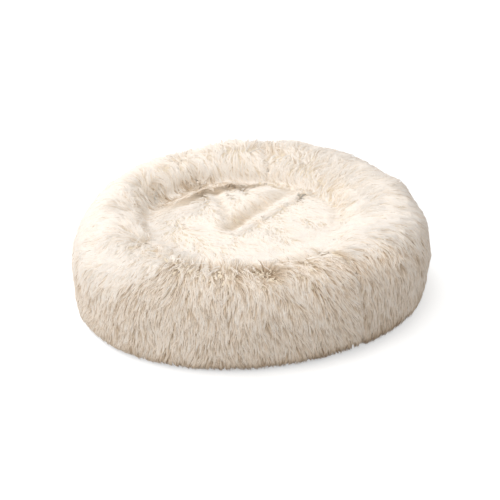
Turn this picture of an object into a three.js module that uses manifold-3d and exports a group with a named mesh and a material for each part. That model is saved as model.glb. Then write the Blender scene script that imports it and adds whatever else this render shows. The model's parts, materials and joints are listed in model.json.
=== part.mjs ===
// Round pet bed: a stuffed shag rim, a sewn-in centre cushion, and a washable cover with a zip
// at the back of its foot.
// Millimetres, +Z up. The origin is on the floor under the middle of the bed, and -Y is the front.

import * as THREE from 'three';
import { mergeVertices } from 'three/addons/utils/BufferGeometryUtils.js';
import Module from 'manifold-3d';

const wasm = await Module();
wasm.setup();

// Plan and posture. A soft bed that has been unpacked stands a little out of round, its rim is
// higher at the back and the left than at the front and the right, and its hollow has moved left.
const planOvalShare = 0.075;
const planLongAxisDeg = 27;
const backLiftShare = 0.09;
const leftLiftShare = 0.045;
const wellShift = 18;
const ringSteps = 48;

// Rim, measured on the mean surface of its pile.
const rimFootRadius = 266;
const rimBulgeOut = 15;
const rimBulgeHeight = 72;
const rimCrestRadius = 210;
const rimCrestHeight = 166;
const flankRoundness = 2.1;
const crownRoundness = 2.2;
const pileThickness = 22;
const pileHang = 16;
const crossSeamDeg = -48.5;

// Dents and humps of the rim's pile, each at an azimuth, a section radius and a section height.
// A negative depth is a hump. They push towards the rim's core, or away from it.
const rimCore = [205, 85];
const rimDents = [
  { atDeg: 79, radius: 188, height: 158, reach: 26, depth: 10 },
  { atDeg: 69, radius: 212, height: 166, reach: 40, depth: -4 },
  { atDeg: 161.5, radius: 164, height: 140, reach: 26, depth: 9 },
  { atDeg: 139, radius: 176, height: 154, reach: 30, depth: -6 },
  { atDeg: 274, radius: 222, height: 162, reach: 26, depth: 5 },
  { atDeg: 229, radius: 214, height: 166, reach: 28, depth: 6 },
];

// Seam between the rim and the centre cushion. The pile fills its groove, and so lifts it, most
// at the side across from its lowest place.
const seamRadius = 150;
const seamHeight = 118;
const seamRise = 14;
const seamLowDeg = 110;
const seamRisePower = 3;
const seamEdgeDepth = 20;
const seamAllowance = 6;

// Centre cushion: its crown above the seam, and the Y-shaped crease that parts it in three lobes.
// The crease's junction and far ends are shares of the seam radius.
const cushionCrown = 16;
const cushionCrownPower = 4;
const undersideCrown = 4;
const creaseDepth = 17;
const creaseWidth = 22;
const creaseJunctionShares = [-0.11, -0.16];
const creaseEndShares = [[-0.38, 0.83], [0.54, 0.73], [-0.2, -0.45]];
const capRingShares = [0, 0.14, 0.28, 0.42, 0.56, 0.7, 0.82, 0.92, 1];
const innerRingShares = [0, 0.5, 0.85, 1];

// Cloth and clearances.
const clothThickness = 1.6;
const linerThickness = 1.5;
const fitClearance = 0.4;
const linerSlitRadius = 190;
const slitWidth = 1.2;
const casingSlotLength = 90;
const casingCornerRadius = 8;
const bindingWidth = 3.6;
const bindingHeight = 3.2;
const bindingCorner = 0.9;
const bindingLift = 0.2;

// Zip, on an arc along the back of the foot.
const zipMidDeg = planLongAxisDeg + 90;
const zipFitHalfSpanDeg = 34;
const zipChainLength = 240;
const zipTailLength = 28;
const zipTapeHeight = 6.6;
const zipTapeThickness = 0.9;
const zipCoilWidth = 2.4;
const zipCoilHeight = 1.9;
const zipCoilCorner = 0.5;
const zipChainGap = 1.8;
const zipClearance = 0.3;
const zipSteps = 24;
const zipStopLength = 3;
const zipStopThickness = 0.8;

// Zip slider and its pull.
const sliderLength = 10;
const sliderHeight = 8;
const sliderTailHeight = 6.4;
const sliderPlateThickness = 1.3;
const sliderRunClearance = 0.35;
const sliderPostLength = 3.5;
const archOpening = 2.5;
const archHalfSpan = 2;
const archBarThickness = 0.9;
const archWidth = 2.2;
const pullLength = 22;
const pullWidth = 7;
const pullThickness = 1.2;
const pullBarWidth = 1.4;
const pullArmWidth = 1.1;
const pullWindowLength = 3.5;
const pullHoleRadius = 1.6;

const fullTurn = 2 * Math.PI;
const quarterTurn = Math.PI / 2;
const weldDistance = 0.0001;
const cutOverrun = 5;

// Sizes and places worked out from the ones above.
const bodyFloor = clothThickness + fitClearance;
const baseRadius = rimFootRadius - pileHang;
const bindingTop = bindingLift + bindingHeight;
const footHeight = bindingTop + fitClearance + bindingLift;
const crossSeam = THREE.MathUtils.degToRad(crossSeamDeg);
const linerInset = pileThickness + fitClearance;
const zipPlanRadius = baseRadius + fitClearance + bindingWidth / 2;
const zipTapeFoot = bindingTop + zipClearance;
const zipMidHeight = zipTapeFoot + zipTapeHeight + zipClearance + zipCoilHeight + zipChainGap / 2;
const zipTop = 2 * zipMidHeight - zipTapeFoot;
const zipArc = zipArcThroughPlan();
const sliderGap = zipCoilWidth + 2 * sliderRunClearance;
const sliderFace = sliderGap / 2 + sliderPlateThickness;
const pullAxisHeight = sliderFace + archOpening / 2;
const sliderStart = zipArc.mid - (zipChainLength - sliderLength) / 2 / zipArc.radius
  + (zipStopLength + zipClearance) / zipArc.radius;

/** Factor by which the plan is drawn out at an azimuth, in radians. */
function planScale(azimuth) {
  return 1 + planOvalShare * Math.cos(2 * (azimuth - THREE.MathUtils.degToRad(planLongAxisDeg)));
}

/** Factor by which heights grow at a place: it fades to nothing at the middle of the bed. */
function heightScale(radius, azimuth) {
  const reach = Math.min(1, radius / seamRadius);
  return 1 + reach * (backLiftShare * Math.sin(azimuth) - leftLiftShare * Math.cos(azimuth));
}

/** How far a place has moved left with the hollow: all the way inside the seam, fading outside. */
function leftShift(radius) {
  const still = rimFootRadius - pileThickness;
  return wellShift * THREE.MathUtils.clamp((still - radius) / (still - seamRadius), 0, 1);
}

/** Place of a section point [radius, height] at an azimuth of the bed. */
function bedPoint([radius, height], azimuth) {
  const planRadius = radius * planScale(azimuth);
  const rise = (height - bodyFloor) * (heightScale(radius, azimuth) - 1);
  return [
    planRadius * Math.cos(azimuth) - leftShift(radius),
    planRadius * Math.sin(azimuth),
    height > bodyFloor ? height + rise : height,
  ];
}

/** Centre, radius and middle angle of the circle that follows the foot where the zip runs. */
function zipArcThroughPlan() {
  const span = THREE.MathUtils.degToRad(zipFitHalfSpanDeg);
  const mid = THREE.MathUtils.degToRad(zipMidDeg);
  const [a, b, c] = [mid - span, mid, mid + span].map((azimuth) => {
    const [x, y] = bedPoint([zipPlanRadius, 0], azimuth);
    return new THREE.Vector2(x, y);
  });
  const d = 2 * (a.x * (b.y - c.y) + b.x * (c.y - a.y) + c.x * (a.y - b.y));
  const centre = new THREE.Vector2(
    (a.lengthSq() * (b.y - c.y) + b.lengthSq() * (c.y - a.y) + c.lengthSq() * (a.y - b.y)) / d,
    (a.lengthSq() * (c.x - b.x) + b.lengthSq() * (a.x - c.x) + c.lengthSq() * (b.x - a.x)) / d,
  );
  return { centre, radius: centre.distanceTo(b), mid: b.clone().sub(centre).angle() };
}

/** Place of a zip section point [offset from the arc, height] at an angle of the zip's arc. */
function zipPoint([offset, height], angle) {
  const radius = zipArc.radius + offset;
  const { centre } = zipArc;
  return [centre.x + radius * Math.cos(angle), centre.y + radius * Math.sin(angle), height];
}

/** Merge shared corners and drop the faces that have no width. */
function weld(positions, indices) {
  const geometry = new THREE.BufferGeometry();
  geometry.setAttribute('position', new THREE.Float32BufferAttribute(positions, 3));
  geometry.setIndex(indices);
  const merged = mergeVertices(geometry, weldDistance);
  const kept = [];
  const index = merged.getIndex().array;
  for (let i = 0; i < index.length; i += 3) {
    const [a, b, c] = index.slice(i, i + 3);
    if (a !== b && b !== c && c !== a) {
      kept.push(a, b, c);
    }
  }
  merged.setIndex(kept);
  merged.computeVertexNormals();
  return merged;
}

/**
 * Closed solid through one section per station. Each section runs anticlockwise, seen with the
 * radius to the right and the height up, and all have as many points. The end caps are divided
 * as the cap outline is.
 */
function sweep(sectionAt, stations, place, isRing, capOutline = sectionAt(stations[0])) {
  const count = sectionAt(stations[0]).length;
  const positions = stations.flatMap((s) => sectionAt(s).flatMap((point) => place(point, s)));
  const indices = [];
  const spans = isRing ? stations.length : stations.length - 1;
  for (let i = 0; i < spans; i += 1) {
    const here = i * count;
    const next = ((i + 1) % stations.length) * count;
    for (let j = 0; j < count; j += 1) {
      const k = (j + 1) % count;
      indices.push(here + j, next + k, here + k, here + j, next + j, next + k);
    }
  }
  if (!isRing) {
    const outline = capOutline.map(([x, y]) => new THREE.Vector2(x, y));
    const last = spans * count;
    THREE.ShapeUtils.triangulateShape(outline, []).forEach(([a, b, c]) => {
      indices.push(a, b, c, last + a, last + c, last + b);
    });
  }
  return weld(positions, indices);
}

/** Evenly spaced stations from one angle to another, both included. */
function stationsBetween(start, end, steps) {
  return Array.from({ length: steps + 1 }, (_, i) => start + ((end - start) * i) / steps);
}

/** Solid that runs all round the bed. */
function ringSolid(sectionAt) {
  const stations = stationsBetween(crossSeam, crossSeam + fullTurn, ringSteps).slice(0, ringSteps);
  return sweep(sectionAt, stations, bedPoint, true);
}

/** Solid along the zip's arc, between two lengths from its middle. */
function zipSolid(section, from, to, steps) {
  const stations = stationsBetween(
    zipArc.mid + from / zipArc.radius,
    zipArc.mid + to / zipArc.radius,
    steps,
  );
  return sweep(() => section, stations, zipPoint, false);
}

/** Manifold solid of a closed geometry. */
function toSolid(geometry) {
  const bare = geometry.index ? geometry.clone() : geometry;
  bare.deleteAttribute('normal');
  bare.deleteAttribute('uv');
  const merged = mergeVertices(bare, weldDistance);
  return new wasm.Manifold(new wasm.Mesh({
    numProp: 3,
    vertProperties: new Float32Array(merged.getAttribute('position').array),
    triVerts: new Uint32Array(merged.getIndex().array),
  }));
}

/** Geometry of a manifold solid. */
function toGeometry(solid) {
  const mesh = solid.getMesh();
  const geometry = new THREE.BufferGeometry();
  geometry.setAttribute('position', new THREE.Float32BufferAttribute(mesh.vertProperties, 3));
  geometry.setIndex(Array.from(mesh.triVerts));
  geometry.computeVertexNormals();
  return geometry;
}

/** Geometries joined into one body. */
function fused(geometries) {
  return toGeometry(geometries.map(toSolid).reduce((whole, piece) => whole.add(piece)));
}

/** Geometry with another cut away. */
function cut(geometry, tool) {
  return toGeometry(toSolid(geometry).subtract(toSolid(tool)));
}

/** Box between two corners. */
function boxBetween(low, high) {
  const size = high.map((value, axis) => value - low[axis]);
  const centre = high.map((value, axis) => (value + low[axis]) / 2);
  return new THREE.BoxGeometry(...size).translate(...centre);
}

/** Closed outline with its corners cut off, anticlockwise. */
function chamfered([left, right], [bottom, top], corner) {
  return [
    [left + corner, bottom], [right - corner, bottom], [right, bottom + corner],
    [right, top - corner], [right - corner, top], [left + corner, top],
    [left, top - corner], [left, bottom + corner],
  ];
}

/** Quarter of a superellipse from [1, 0] to [0, 1], as shares of its two reaches. */
function quarterShares(steps, roundness) {
  return Array.from({ length: steps }, (_, i) => {
    const angle = (quarterTurn * (i + 1)) / steps;
    return [
      i + 1 === steps ? 0 : Math.cos(angle) ** (2 / roundness),
      Math.sin(angle) ** (2 / roundness),
    ];
  });
}

/**
 * The rim's section from its foot over the bulge and the crest to the inner seam. The inset
 * draws it in from the pile's surface, and detail 2 gives twice the points of detail 1.
 */
function rimPath(inset, seamInset, detail) {
  const foot = rimFootRadius - inset;
  const bulge = rimFootRadius + rimBulgeOut - inset;
  const crest = rimCrestHeight - inset;
  const seam = seamRadius + seamInset;
  const flank = quarterShares(detail, flankRoundness).map(([across, up]) => [
    foot + (bulge - foot) * up,
    rimBulgeHeight - (rimBulgeHeight - footHeight) * across,
  ]);
  const shoulder = quarterShares(3 * detail, crownRoundness).map(([across, up]) => [
    rimCrestRadius + (bulge - rimCrestRadius) * across,
    rimBulgeHeight + (crest - rimBulgeHeight) * up,
  ]);
  const inside = quarterShares(2 * detail, 2).map(([down, across]) => [
    rimCrestRadius - (rimCrestRadius - seam) * across,
    seamHeight + (crest - seamHeight) * down,
  ]);
  return [[foot, footHeight], ...flank, ...shoulder, ...inside];
}

/** How much higher the pile's groove over the seam lies at an azimuth than at its lowest place. */
function seamLift(azimuth) {
  return (seamRise * (1 - Math.cos(azimuth - THREE.MathUtils.degToRad(seamLowDeg)))) / 2;
}

/** Place on the rim's pile with the groove over the seam lifted, and with its dents and humps. */
function pilePlace([radius, height], azimuth) {
  const drop = (rimCrestHeight - height) / (rimCrestHeight - seamHeight);
  const lifted = height + (radius < rimCrestRadius ? drop * seamLift(azimuth) : 0);
  const depth = rimDents.reduce((sum, dent) => {
    const turn = azimuth - THREE.MathUtils.degToRad(dent.atDeg);
    const around = Math.atan2(Math.sin(turn), Math.cos(turn)) * dent.radius;
    const gap = Math.hypot(around, radius - dent.radius, lifted - dent.height);
    return sum + dent.depth * Math.exp(-((gap / dent.reach) ** 2));
  }, 0);
  const outward = new THREE.Vector2(radius - rimCore[0], lifted - rimCore[1]).normalize();
  return [Math.max(seamRadius, radius - depth * outward.x), lifted - depth * outward.y];
}

/** Half of the rim's shag cover, from one cross seam to the other, notched over the zip. */
function rimFur(start) {
  const edge = seamHeight - seamEdgeDepth;
  const pile = rimPath(0, 0, 2);
  const sectionOf = (outer) => [
    ...outer,
    [seamRadius, edge],
    [seamRadius + seamAllowance, edge],
    ...rimPath(pileThickness, seamAllowance, 1).reverse(),
  ];
  const sectionAt = (azimuth) => sectionOf(pile.map((point) => pilePlace(point, azimuth)));
  const gap = fitClearance / seamRadius / 2;
  const stations = stationsBetween(start, start + Math.PI, ringSteps / 2);
  stations[0] += gap;
  stations[stations.length - 1] -= gap;
  return cut(sweep(sectionAt, stations, bedPoint, false, sectionOf(pile)), zipNotch());
}

/** Space along the foot that the pile leaves free for the zip and its pull. */
function zipNotch() {
  const reach = zipChainLength / 2 + zipTailLength + zipClearance;
  const section = [
    [-pileThickness, -cutOverrun], [2 * pileThickness, -cutOverrun],
    [2 * pileThickness, zipTop + zipClearance], [-pileThickness, zipTop + zipClearance],
  ];
  return zipSolid(section, -reach, reach, zipSteps);
}

/** Inner sleeve that holds the rim's filling. Its long closing seam, underneath, is a slit. */
function rimLiner() {
  const outer = rimPath(linerInset, seamAllowance + fitClearance, 1);
  const inner = rimPath(
    linerInset + linerThickness,
    seamAllowance + fitClearance + linerThickness,
    1,
  );
  const inside = bodyFloor + linerThickness;
  const [slitIn, slitOut] = [linerSlitRadius - slitWidth / 2, linerSlitRadius + slitWidth / 2];
  const section = [
    [slitOut, bodyFloor],
    [outer[0][0], bodyFloor],
    ...outer,
    [outer.at(-1)[0], bodyFloor],
    [slitIn, bodyFloor],
    [slitIn, inside],
    [inner.at(-1)[0], inside],
    ...inner.slice().reverse(),
    [inner[0][0], inside],
    [slitOut, inside],
  ];
  return ringSolid(() => section);
}

/** Filling of the rim. */
function rimFilling() {
  const inset = linerInset + linerThickness + fitClearance;
  const path = rimPath(inset, seamAllowance + 2 * fitClearance + linerThickness, 1);
  const floor = bodyFloor + linerThickness + fitClearance;
  const section = [[path[0][0], floor], ...path, [path.at(-1)[0], floor]];
  return ringSolid(() => section);
}

/** Depth share, 0 to 1, of the crease at a place in the plan, in shares of the seam radius. */
function creaseShare(place) {
  const junction = new THREE.Vector3(...creaseJunctionShares, 0);
  const width = creaseWidth / seamRadius;
  const untouched = creaseEndShares.map((end) => {
    const line = new THREE.Line3(junction, new THREE.Vector3(...end, 0));
    const gap = line.closestPointToPoint(place, true, new THREE.Vector3()).distanceTo(place);
    return 1 - Math.exp(-((gap / width) ** 2));
  });
  return 1 - Math.cbrt(untouched.reduce((product, share) => product * share, 1));
}

/** Height of the centre cushion's pile at a share of the seam radius and an azimuth. */
function cushionTop(share, azimuth) {
  const place = new THREE.Vector3(share * Math.cos(azimuth), share * Math.sin(azimuth), 0);
  const edge = seamHeight + seamLift(azimuth) * share ** seamRisePower;
  const fade = 1 - share ** cushionCrownPower;
  return edge + (cushionCrown - creaseDepth * creaseShare(place)) * fade;
}

/** Height of the centre cover's underside, a low crown. */
function cushionUnderside(share) {
  return seamHeight - seamEdgeDepth + undersideCrown * (1 - share ** 2);
}

/** Shag cover of the centre cushion. */
function centreFur() {
  const radius = seamRadius - fitClearance;
  const sectionAt = (azimuth) => [
    ...innerRingShares.map((share) => [share * radius, cushionUnderside(share)]),
    ...capRingShares.map((share) => [share * radius, cushionTop(share, azimuth)]).reverse(),
  ];
  return ringSolid(sectionAt);
}

/** Section of the cushion below its cover, drawn in from its own surface by an inset. */
function cushionBody(inset) {
  const radius = seamRadius + seamAllowance - fitClearance - inset;
  const corner = casingCornerRadius;
  const floor = bodyFloor + inset;
  const shoulder = seamHeight - seamEdgeDepth - fitClearance - inset;
  const domeRadius = seamRadius - fitClearance;
  const dome = innerRingShares.slice(0, -1).map((share) => [
    share * domeRadius,
    cushionUnderside(share) - fitClearance - inset,
  ]);
  return [
    [0, floor], [radius - corner, floor], [radius, floor + corner],
    [radius, shoulder - corner], [radius - corner, shoulder],
    ...dome.reverse(),
  ];
}

/** Inner cushion's casing, with the slot in its underside that the filling goes in by. */
function cushionCasing() {
  const shell = cut(
    ringSolid(() => cushionBody(0)),
    ringSolid(() => cushionBody(linerThickness)),
  );
  const slot = boxBetween(
    [-casingSlotLength / 2, -slitWidth / 2, 0],
    [casingSlotLength / 2, slitWidth / 2, bodyFloor + linerThickness + cutOverrun],
  );
  return cut(shell, slot);
}

/** Filling of the centre cushion. */
function cushionFilling() {
  return ringSolid(() => cushionBody(linerThickness + fitClearance));
}

/** Flat cloth that the bed stands on. */
function baseCloth() {
  const section = [[0, 0], [baseRadius, 0], [baseRadius, clothThickness], [0, clothThickness]];
  return ringSolid(() => section);
}

/** Tape bound round the edge of the base. */
function baseBinding() {
  const inner = baseRadius + fitClearance;
  const section = chamfered([inner, inner + bindingWidth], [bindingLift, bindingTop], bindingCorner);
  return ringSolid(() => section);
}

/** One of the zip's two cloth tapes, from its lower edge. */
function zipTape(bottom) {
  const reach = zipChainLength / 2 + zipTailLength;
  const half = zipTapeThickness / 2;
  const top = bottom + zipTapeHeight;
  return zipSolid([[-half, bottom], [half, bottom], [half, top], [-half, top]], -reach, reach, zipSteps);
}

/** One of the zip's two rows of teeth, as a plain bar, from its lower edge. */
function zipCoil(bottom) {
  const half = zipCoilWidth / 2;
  const section = chamfered([-half, half], [bottom, bottom + zipCoilHeight], zipCoilCorner);
  return zipSolid(section, -zipChainLength / 2, zipChainLength / 2, zipSteps);
}

/** Clip that spans both rows of teeth at one end of the chain, with its middle at a length. */
function zipStop(middle) {
  const inner = zipCoilWidth / 2 + zipClearance;
  const outer = inner + zipStopThickness;
  const half = zipChainGap / 2 + zipCoilHeight;
  const [low, high] = [zipMidHeight - half, zipMidHeight + half];
  const web = zipChainGap / 2 - zipClearance;
  const section = [
    [-outer, low], [-inner, low], [-inner, zipMidHeight - web], [inner, zipMidHeight - web],
    [inner, low], [outer, low], [outer, high], [inner, high],
    [inner, zipMidHeight + web], [-inner, zipMidHeight + web], [-inner, high], [-outer, high],
  ];
  return zipSolid(section, middle - zipStopLength / 2, middle + zipStopLength / 2, 1);
}

/** Slider plate, wider at its leading end, between two offsets from the chain. */
function sliderPlate(inner, outer) {
  const [end, nose, tail] = [sliderLength / 2, sliderHeight / 2, sliderTailHeight / 2];
  const waist = sliderPostLength / 2;
  const outline = new THREE.Shape([
    new THREE.Vector2(-end, -tail), new THREE.Vector2(waist, -tail),
    new THREE.Vector2(end - waist, -nose), new THREE.Vector2(end, -nose + waist),
    new THREE.Vector2(end, nose - waist), new THREE.Vector2(end - waist, nose),
    new THREE.Vector2(waist, tail), new THREE.Vector2(-end, tail),
  ]);
  const plate = new THREE.ExtrudeGeometry(outline, { depth: outer - inner, bevelEnabled: false });
  return plate.rotateX(quarterTurn).translate(0, outer, 0);
}

/**
 * Zip slider in its own frame: +X along the chain, +Y out of the bed, +Z up, with its middle on
 * the chain. The arch on its face holds the pull.
 */
function zipSlider() {
  const inner = sliderGap / 2;
  const postHalf = zipChainGap / 2 - sliderRunClearance;
  const foot = archHalfSpan + archBarThickness;
  const archTop = sliderFace + archOpening;
  const sunk = sliderFace - sliderPlateThickness / 2;
  return fused([
    sliderPlate(inner, sliderFace),
    sliderPlate(-sliderFace, -inner),
    boxBetween(
      [-sliderPostLength / 2, -inner - sliderPlateThickness / 2, -postHalf],
      [sliderPostLength / 2, inner + sliderPlateThickness / 2, postHalf],
    ),
    boxBetween([-foot, sunk, -archWidth / 2], [-archHalfSpan, archTop, archWidth / 2]),
    boxBetween([archHalfSpan, sunk, -archWidth / 2], [foot, archTop, archWidth / 2]),
    boxBetween([-foot, archTop, -archWidth / 2], [foot, archTop + archBarThickness, archWidth / 2]),
  ]);
}

/** Pull in its own frame: +X along the pull and +Z up, with its cross bar on the origin. */
function zipPull() {
  const windowHalf = archWidth / 2 + sliderRunClearance;
  const neck = windowHalf + pullArmWidth;
  const windowEnd = pullBarWidth / 2 + pullWindowLength;
  const grip = pullWidth / 2;
  const outline = new THREE.Shape();
  outline.moveTo(-pullBarWidth / 2, -neck);
  outline.lineTo(windowEnd, -neck);
  outline.lineTo(windowEnd + pullArmWidth, -grip);
  outline.lineTo(pullLength - grip, -grip);
  outline.absarc(pullLength - grip, 0, grip, -quarterTurn, quarterTurn, false);
  outline.lineTo(windowEnd + pullArmWidth, grip);
  outline.lineTo(windowEnd, neck);
  outline.lineTo(-pullBarWidth / 2, neck);
  outline.closePath();
  outline.holes.push(
    new THREE.Path([
      new THREE.Vector2(pullBarWidth / 2, -windowHalf), new THREE.Vector2(windowEnd, -windowHalf),
      new THREE.Vector2(windowEnd, windowHalf), new THREE.Vector2(pullBarWidth / 2, windowHalf),
    ]),
    new THREE.Path().absarc(pullLength - grip, 0, pullHoleRadius, 0, fullTurn, true),
  );
  const settings = { depth: pullThickness, bevelEnabled: false, curveSegments: 6 };
  const plate = new THREE.ExtrudeGeometry(outline, settings);
  return plate.rotateX(quarterTurn).translate(0, pullThickness / 2, 0);
}

/** Named mesh with its own plain material. */
function part(name, geometry, color, roughness, metalness = 0) {
  const mesh = new THREE.Mesh(
    geometry,
    new THREE.MeshStandardMaterial({ color, roughness, metalness }),
  );
  mesh.name = name;
  return mesh;
}

const shag = 0xf1e7d8;
const lining = 0xf2f0ea;
const filling = 0xfafafa;
const tape = 0xece3d4;
const nickel = 0xb9b9b6;

const bed = new THREE.Group();
bed.add(
  part('rim_fur_right', rimFur(crossSeam), shag, 0.95),
  part('rim_fur_left', rimFur(crossSeam + Math.PI), shag, 0.95),
  part('centre_fur', centreFur(), shag, 0.95),
  part('rim_liner', rimLiner(), lining, 0.9),
  part('rim_filling', rimFilling(), filling, 1),
  part('cushion_casing', cushionCasing(), lining, 0.9),
  part('cushion_filling', cushionFilling(), filling, 1),
  part('base_cloth', baseCloth(), tape, 0.85),
  part('base_binding', baseBinding(), tape, 0.8),
);

const stopPlace = (zipChainLength - zipStopLength) / 2;
bed.add(
  part('zip_tape_lower', zipTape(zipTapeFoot), tape, 0.85),
  part('zip_tape_upper', zipTape(zipTop - zipTapeHeight), tape, 0.85),
  part('zip_coil_lower', zipCoil(zipTapeFoot + zipTapeHeight + zipClearance), tape, 0.5),
  part('zip_coil_upper', zipCoil(zipMidHeight + zipChainGap / 2), tape, 0.5),
  part('zip_top_stop', zipStop(-stopPlace), nickel, 0.35, 1),
  part('zip_bottom_stop', zipStop(stopPlace), nickel, 0.35, 1),
);

// The closed zip's slider stands at the start of the chain, with its pull lying along the chain.
const sliderPlace = new THREE.Group();
const slider = part('zip_slider', zipSlider(), nickel, 0.35, 1);
const pull = part('zip_pull', zipPull(), nickel, 0.35, 1);
pull.position.set(0, pullAxisHeight, 0);
pull.rotation.z = Math.PI;
sliderPlace.add(slider, pull);
sliderPlace.position.set(...zipPoint([0, zipMidHeight], sliderStart));
sliderPlace.rotation.z = sliderStart - quarterTurn;
bed.add(sliderPlace);

export default bed;
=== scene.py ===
"""Looks of the round shag pet bed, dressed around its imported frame.

The bed is a stuffed rim and a sewn-in centre cushion under one long-pile cover, on a plain woven
base, with a zip at the back of its foot. All lengths are metres, in the frame of the CAD part.
"""

import json
import logging
import math
from dataclasses import dataclass, field
from enum import Enum
from functools import partial
from typing import Callable, Iterable, Optional

import bpy
import numpy as np
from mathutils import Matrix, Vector

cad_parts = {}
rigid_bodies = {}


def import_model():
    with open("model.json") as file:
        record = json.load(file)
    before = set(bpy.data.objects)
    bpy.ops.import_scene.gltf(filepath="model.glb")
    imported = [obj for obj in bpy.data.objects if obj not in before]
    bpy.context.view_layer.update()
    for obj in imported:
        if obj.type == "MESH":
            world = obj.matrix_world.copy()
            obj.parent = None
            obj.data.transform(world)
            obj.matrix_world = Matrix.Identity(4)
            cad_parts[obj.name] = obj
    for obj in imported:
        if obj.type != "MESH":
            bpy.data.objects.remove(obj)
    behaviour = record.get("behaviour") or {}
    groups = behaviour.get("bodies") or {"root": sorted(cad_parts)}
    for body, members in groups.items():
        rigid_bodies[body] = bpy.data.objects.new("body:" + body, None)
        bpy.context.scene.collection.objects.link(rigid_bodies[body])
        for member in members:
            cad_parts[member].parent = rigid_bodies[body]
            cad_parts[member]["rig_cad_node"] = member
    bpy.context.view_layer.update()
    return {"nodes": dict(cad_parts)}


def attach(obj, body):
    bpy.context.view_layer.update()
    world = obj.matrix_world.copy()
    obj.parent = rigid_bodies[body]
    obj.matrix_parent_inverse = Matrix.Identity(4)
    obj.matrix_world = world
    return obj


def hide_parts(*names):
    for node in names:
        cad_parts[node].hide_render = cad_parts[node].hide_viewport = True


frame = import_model()

LOG = logging.getLogger("pet_bed")
FULL_TURN = 2 * math.pi
QUARTER = math.pi / 2
BAKE_UV = "OFBake"
CLOTH_UV = "cloth"

Array = np.ndarray
Colour = tuple[float, float, float]
Place = tuple[float, float, float]
Pair = tuple[float, float]
Table = tuple[Pair, ...]
Piece = bpy.types.Object
Socket = bpy.types.NodeSocket


class Body(Enum):
    """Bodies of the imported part."""

    BED = "bed"
    SLIDER = "zip_slider"
    PULL = "zip_pull"


class Slot(Enum):
    """Material slots of the record."""

    FUR = "shag_fur"
    LINING = "lining_cloth"
    FILLING = "fibre_filling"
    BASE = "base_cloth"
    BINDING = "binding_tape"
    TAPE = "zip_tape"
    COIL = "zip_coil"
    METAL = "zip_metal"


def smooth_step(low: float, high: float, value: Array) -> Array:
    """Eased share, 0 to 1, of the way from low to high.

    Args:
        low: Value at which the share is 0.
        high: Value at which the share is 1.
        value: Values to ease.

    Returns:
        The eased shares.
    """
    share = np.clip((value - low) / (high - low), 0, 1)
    return share * share * (3 - 2 * share)


def unit(vectors: Array) -> Array:
    """Vectors of length 1 along the last axis."""
    return vectors / np.maximum(np.linalg.norm(vectors, axis=-1, keepdims=True), 1e-9)


def round_table(table: Table, azimuth: Array) -> Array:
    """Values read from a table of (degrees, value) that closes round the bed.

    Args:
        table: Rows of azimuth in degrees and value.
        azimuth: Azimuths in radians.

    Returns:
        The values at those azimuths.
    """
    degrees, values = zip(*sorted((row[0] % 360, row[1]) for row in table))
    return np.interp(np.degrees(azimuth) % 360, degrees, values, period=360)


def degrees_past(azimuth: Array, degrees: float) -> Array:
    """How far azimuths in radians lie past one in degrees, -180 to 180."""
    return (np.degrees(azimuth) - degrees + 180) % 360 - 180


def bell(distance: Array, width: Array) -> Array:
    """Soft spot: 1 at no distance, fading over the width."""
    return np.exp(-((distance / width) ** 2))


@dataclass(frozen=True)
class Ripple:
    """Smooth seeded noise over space: a sum of waves in random directions.

    Attributes:
        seed: Seed of the waves.
        wavelength: Mean length of a wave.
        size: About the largest value.
    """

    seed: int
    wavelength: float
    size: float
    COUNT = 28
    LENGTHS = (0.6, 1.7)
    LEVEL = 0.62

    def at(self, points: Array) -> Array:
        """Noise at some points.

        Args:
            points: Points, with x, y and z along the last axis.

        Returns:
            One value per point.
        """
        rng = np.random.default_rng(self.seed)
        directions = unit(rng.normal(size=(self.COUNT, 3)))
        lengths = self.wavelength * rng.uniform(*self.LENGTHS, (self.COUNT, 1))
        total = np.zeros(points.shape[:-1])
        phases = rng.uniform(0, FULL_TURN, self.COUNT)
        for wave, phase in zip(directions * FULL_TURN / lengths, phases):
            total += np.sin(points @ wave + phase)
        return total * math.sqrt(2 / self.COUNT) * self.LEVEL * self.size


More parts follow.
